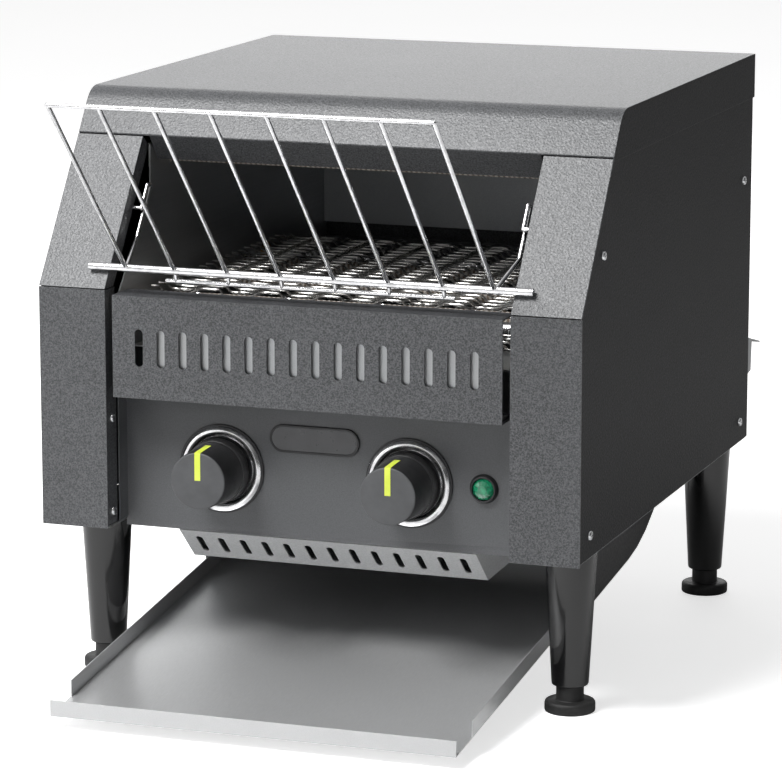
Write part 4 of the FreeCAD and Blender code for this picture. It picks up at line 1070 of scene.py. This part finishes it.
@dataclass
class Studio:
    """Camera, floor, lamps and the white surround."""

    camera_at: Point = (0.8733, -2.44635, 0.7006)
    camera_turn: Point = (78.6, 0.0, 19.7)
    lens: float = 179.9
    floor_half: float = 6.0
    ambient: float = 0.34
    gloss_level: float = 0.8
    right_share: float = 0.12
    falloff_span: Span = (-0.2, 0.75)
    floor_glow: float = 0.66

    def build(self) -> None:
        """Sets up everything round the object."""
        self.camera()
        self.floor()
        self.surround()
        self.lamp("front_top", (-0.75, -1.30, 2.20), (0.0, 0.0, 0.30), 1.0, 80.0)
        self.lamp("front_left", (-1.9, -1.6, 0.9), (0.0, 0.0, 0.2), 1.2, 8.0)
        self.lamp("rear", (-0.7, 2.4, 1.0), (0.0, 0.0, 0.38), 1.5, 11.0)
        bpy.context.scene.view_settings.view_transform = "Standard"

    def camera(self) -> None:
        """The camera of the photograph, drawn closer to this object."""
        data = bpy.data.cameras.new("camera")
        data.lens = self.lens
        data.clip_end = 60.0
        camera = linked("camera", data)
        camera.location = self.camera_at
        camera.rotation_euler = tuple(math.radians(value) for value in self.camera_turn)
        bpy.context.scene.camera = camera

    def floor(self) -> None:
        """A plain pale floor that keeps the object's shadow and runs out to white."""
        half = self.floor_half
        corners = [(-half, -half, 0.0), (half, -half, 0.0), (half, half, 0.0), (-half, half, 0.0)]
        board = Board("studio_floor")
        board.set(specular=0.2, roughness=0.8)
        board.feed("Base Color", board.ramp(board.noise(3.0, 2.0), [(0.3, (0.86, 0.86, 0.86)),
                                                                  (0.7, (0.88, 0.88, 0.88))]))
        self.lift(board)
        mesh = bpy.data.meshes.new("studio_floor")
        mesh.from_pydata(corners, [], [(0, 1, 2, 3)])
        mesh.materials.append(board.material)
        linked("studio_floor", mesh)

    def lift(self, board: Board) -> None:
        """Lets the camera see the floor as white where no shadow falls, without lighting the object."""
        tree = board.tree
        glow = tree.nodes.new("ShaderNodeEmission")
        path = tree.nodes.new("ShaderNodeLightPath")
        seen = ranged(tree, path.outputs["Is Camera Ray"], (0.0, 1.0), (0.0, self.floor_glow))
        tree.links.new(seen, glow.inputs["Strength"])
        total = tree.nodes.new("ShaderNodeAddShader")
        tree.links.new(board.shader.outputs["BSDF"], total.inputs[0])
        tree.links.new(glow.outputs["Emission"], total.inputs[1])
        tree.links.new(total.outputs["Shader"], board.surface)

    def surround(self) -> None:
        """A soft world, darker on the right and brighter to gloss and glass; the camera sees white."""
        world = bpy.data.worlds.new("surround")
        world.use_nodes = True
        tree = world.node_tree
        tree.nodes.clear()
        path = tree.nodes.new("ShaderNodeLightPath")
        bright = worked(tree, "MAXIMUM", path.outputs["Is Glossy Ray"], path.outputs["Is Transmission Ray"])
        place = tree.nodes.new("ShaderNodeTexCoord")
        parts = tree.nodes.new("ShaderNodeSeparateXYZ")
        tree.links.new(place.outputs["Generated"], parts.inputs["Vector"])
        falloff = ranged(tree, parts.outputs["X"], self.falloff_span, (1.0, self.right_share))
        level = ranged(tree, bright, (0.0, 1.0), (self.ambient, self.gloss_level))
        shaded = worked(tree, "MULTIPLY", falloff, level)
        strength = worked(tree, "MAXIMUM", shaded, path.outputs["Is Camera Ray"])
        background = tree.nodes.new("ShaderNodeBackground")
        output = tree.nodes.new("ShaderNodeOutputWorld")
        tree.links.new(strength, background.inputs["Strength"])
        background.inputs["Color"].default_value = (1.0, 1.0, 1.0, 1.0)
        tree.links.new(background.outputs["Background"], output.inputs["Surface"])
        bpy.context.scene.world = world

    def lamp(self, name: str, at: Point, aim: Point, size: float, power: float) -> None:
        """A square soft lamp.

        Args:
            name: the lamp's name.
            at: where it hangs.
            aim: the point it faces.
            size: length of its side.
            power: its output in watts.
        """
        data = bpy.data.lights.new(name, "AREA")
        data.shape = "SQUARE"
        data.size = size
        data.energy = power
        lamp = linked(name, data)
        lamp.location = at
        lamp.rotation_euler = (Vector(aim) - Vector(at)).to_track_quat("-Z", "Y").to_euler()


def main() -> None:
    """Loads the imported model, builds and dresses each sub-assembly, and sets the studio."""
    logging.basicConfig(level=logging.INFO, format="%(message)s")
    shop = Workshop(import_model()["nodes"])
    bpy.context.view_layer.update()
    dials = [Dial(shop, Side.LEFT, -0.069), Dial(shop, Side.RIGHT, 0.0606)]
    for part in (Casing(shop), *dials, Front(shop), Belt(shop), Oven(shop), Legs(shop)):
        part.build()
        part.dress()
    shop.mount("dial_backs_turned", joined([dial.rings for dial in dials]), Finish.BLACK, "dial_backs")
    Studio().build()


if __name__ == "__main__":
    main()
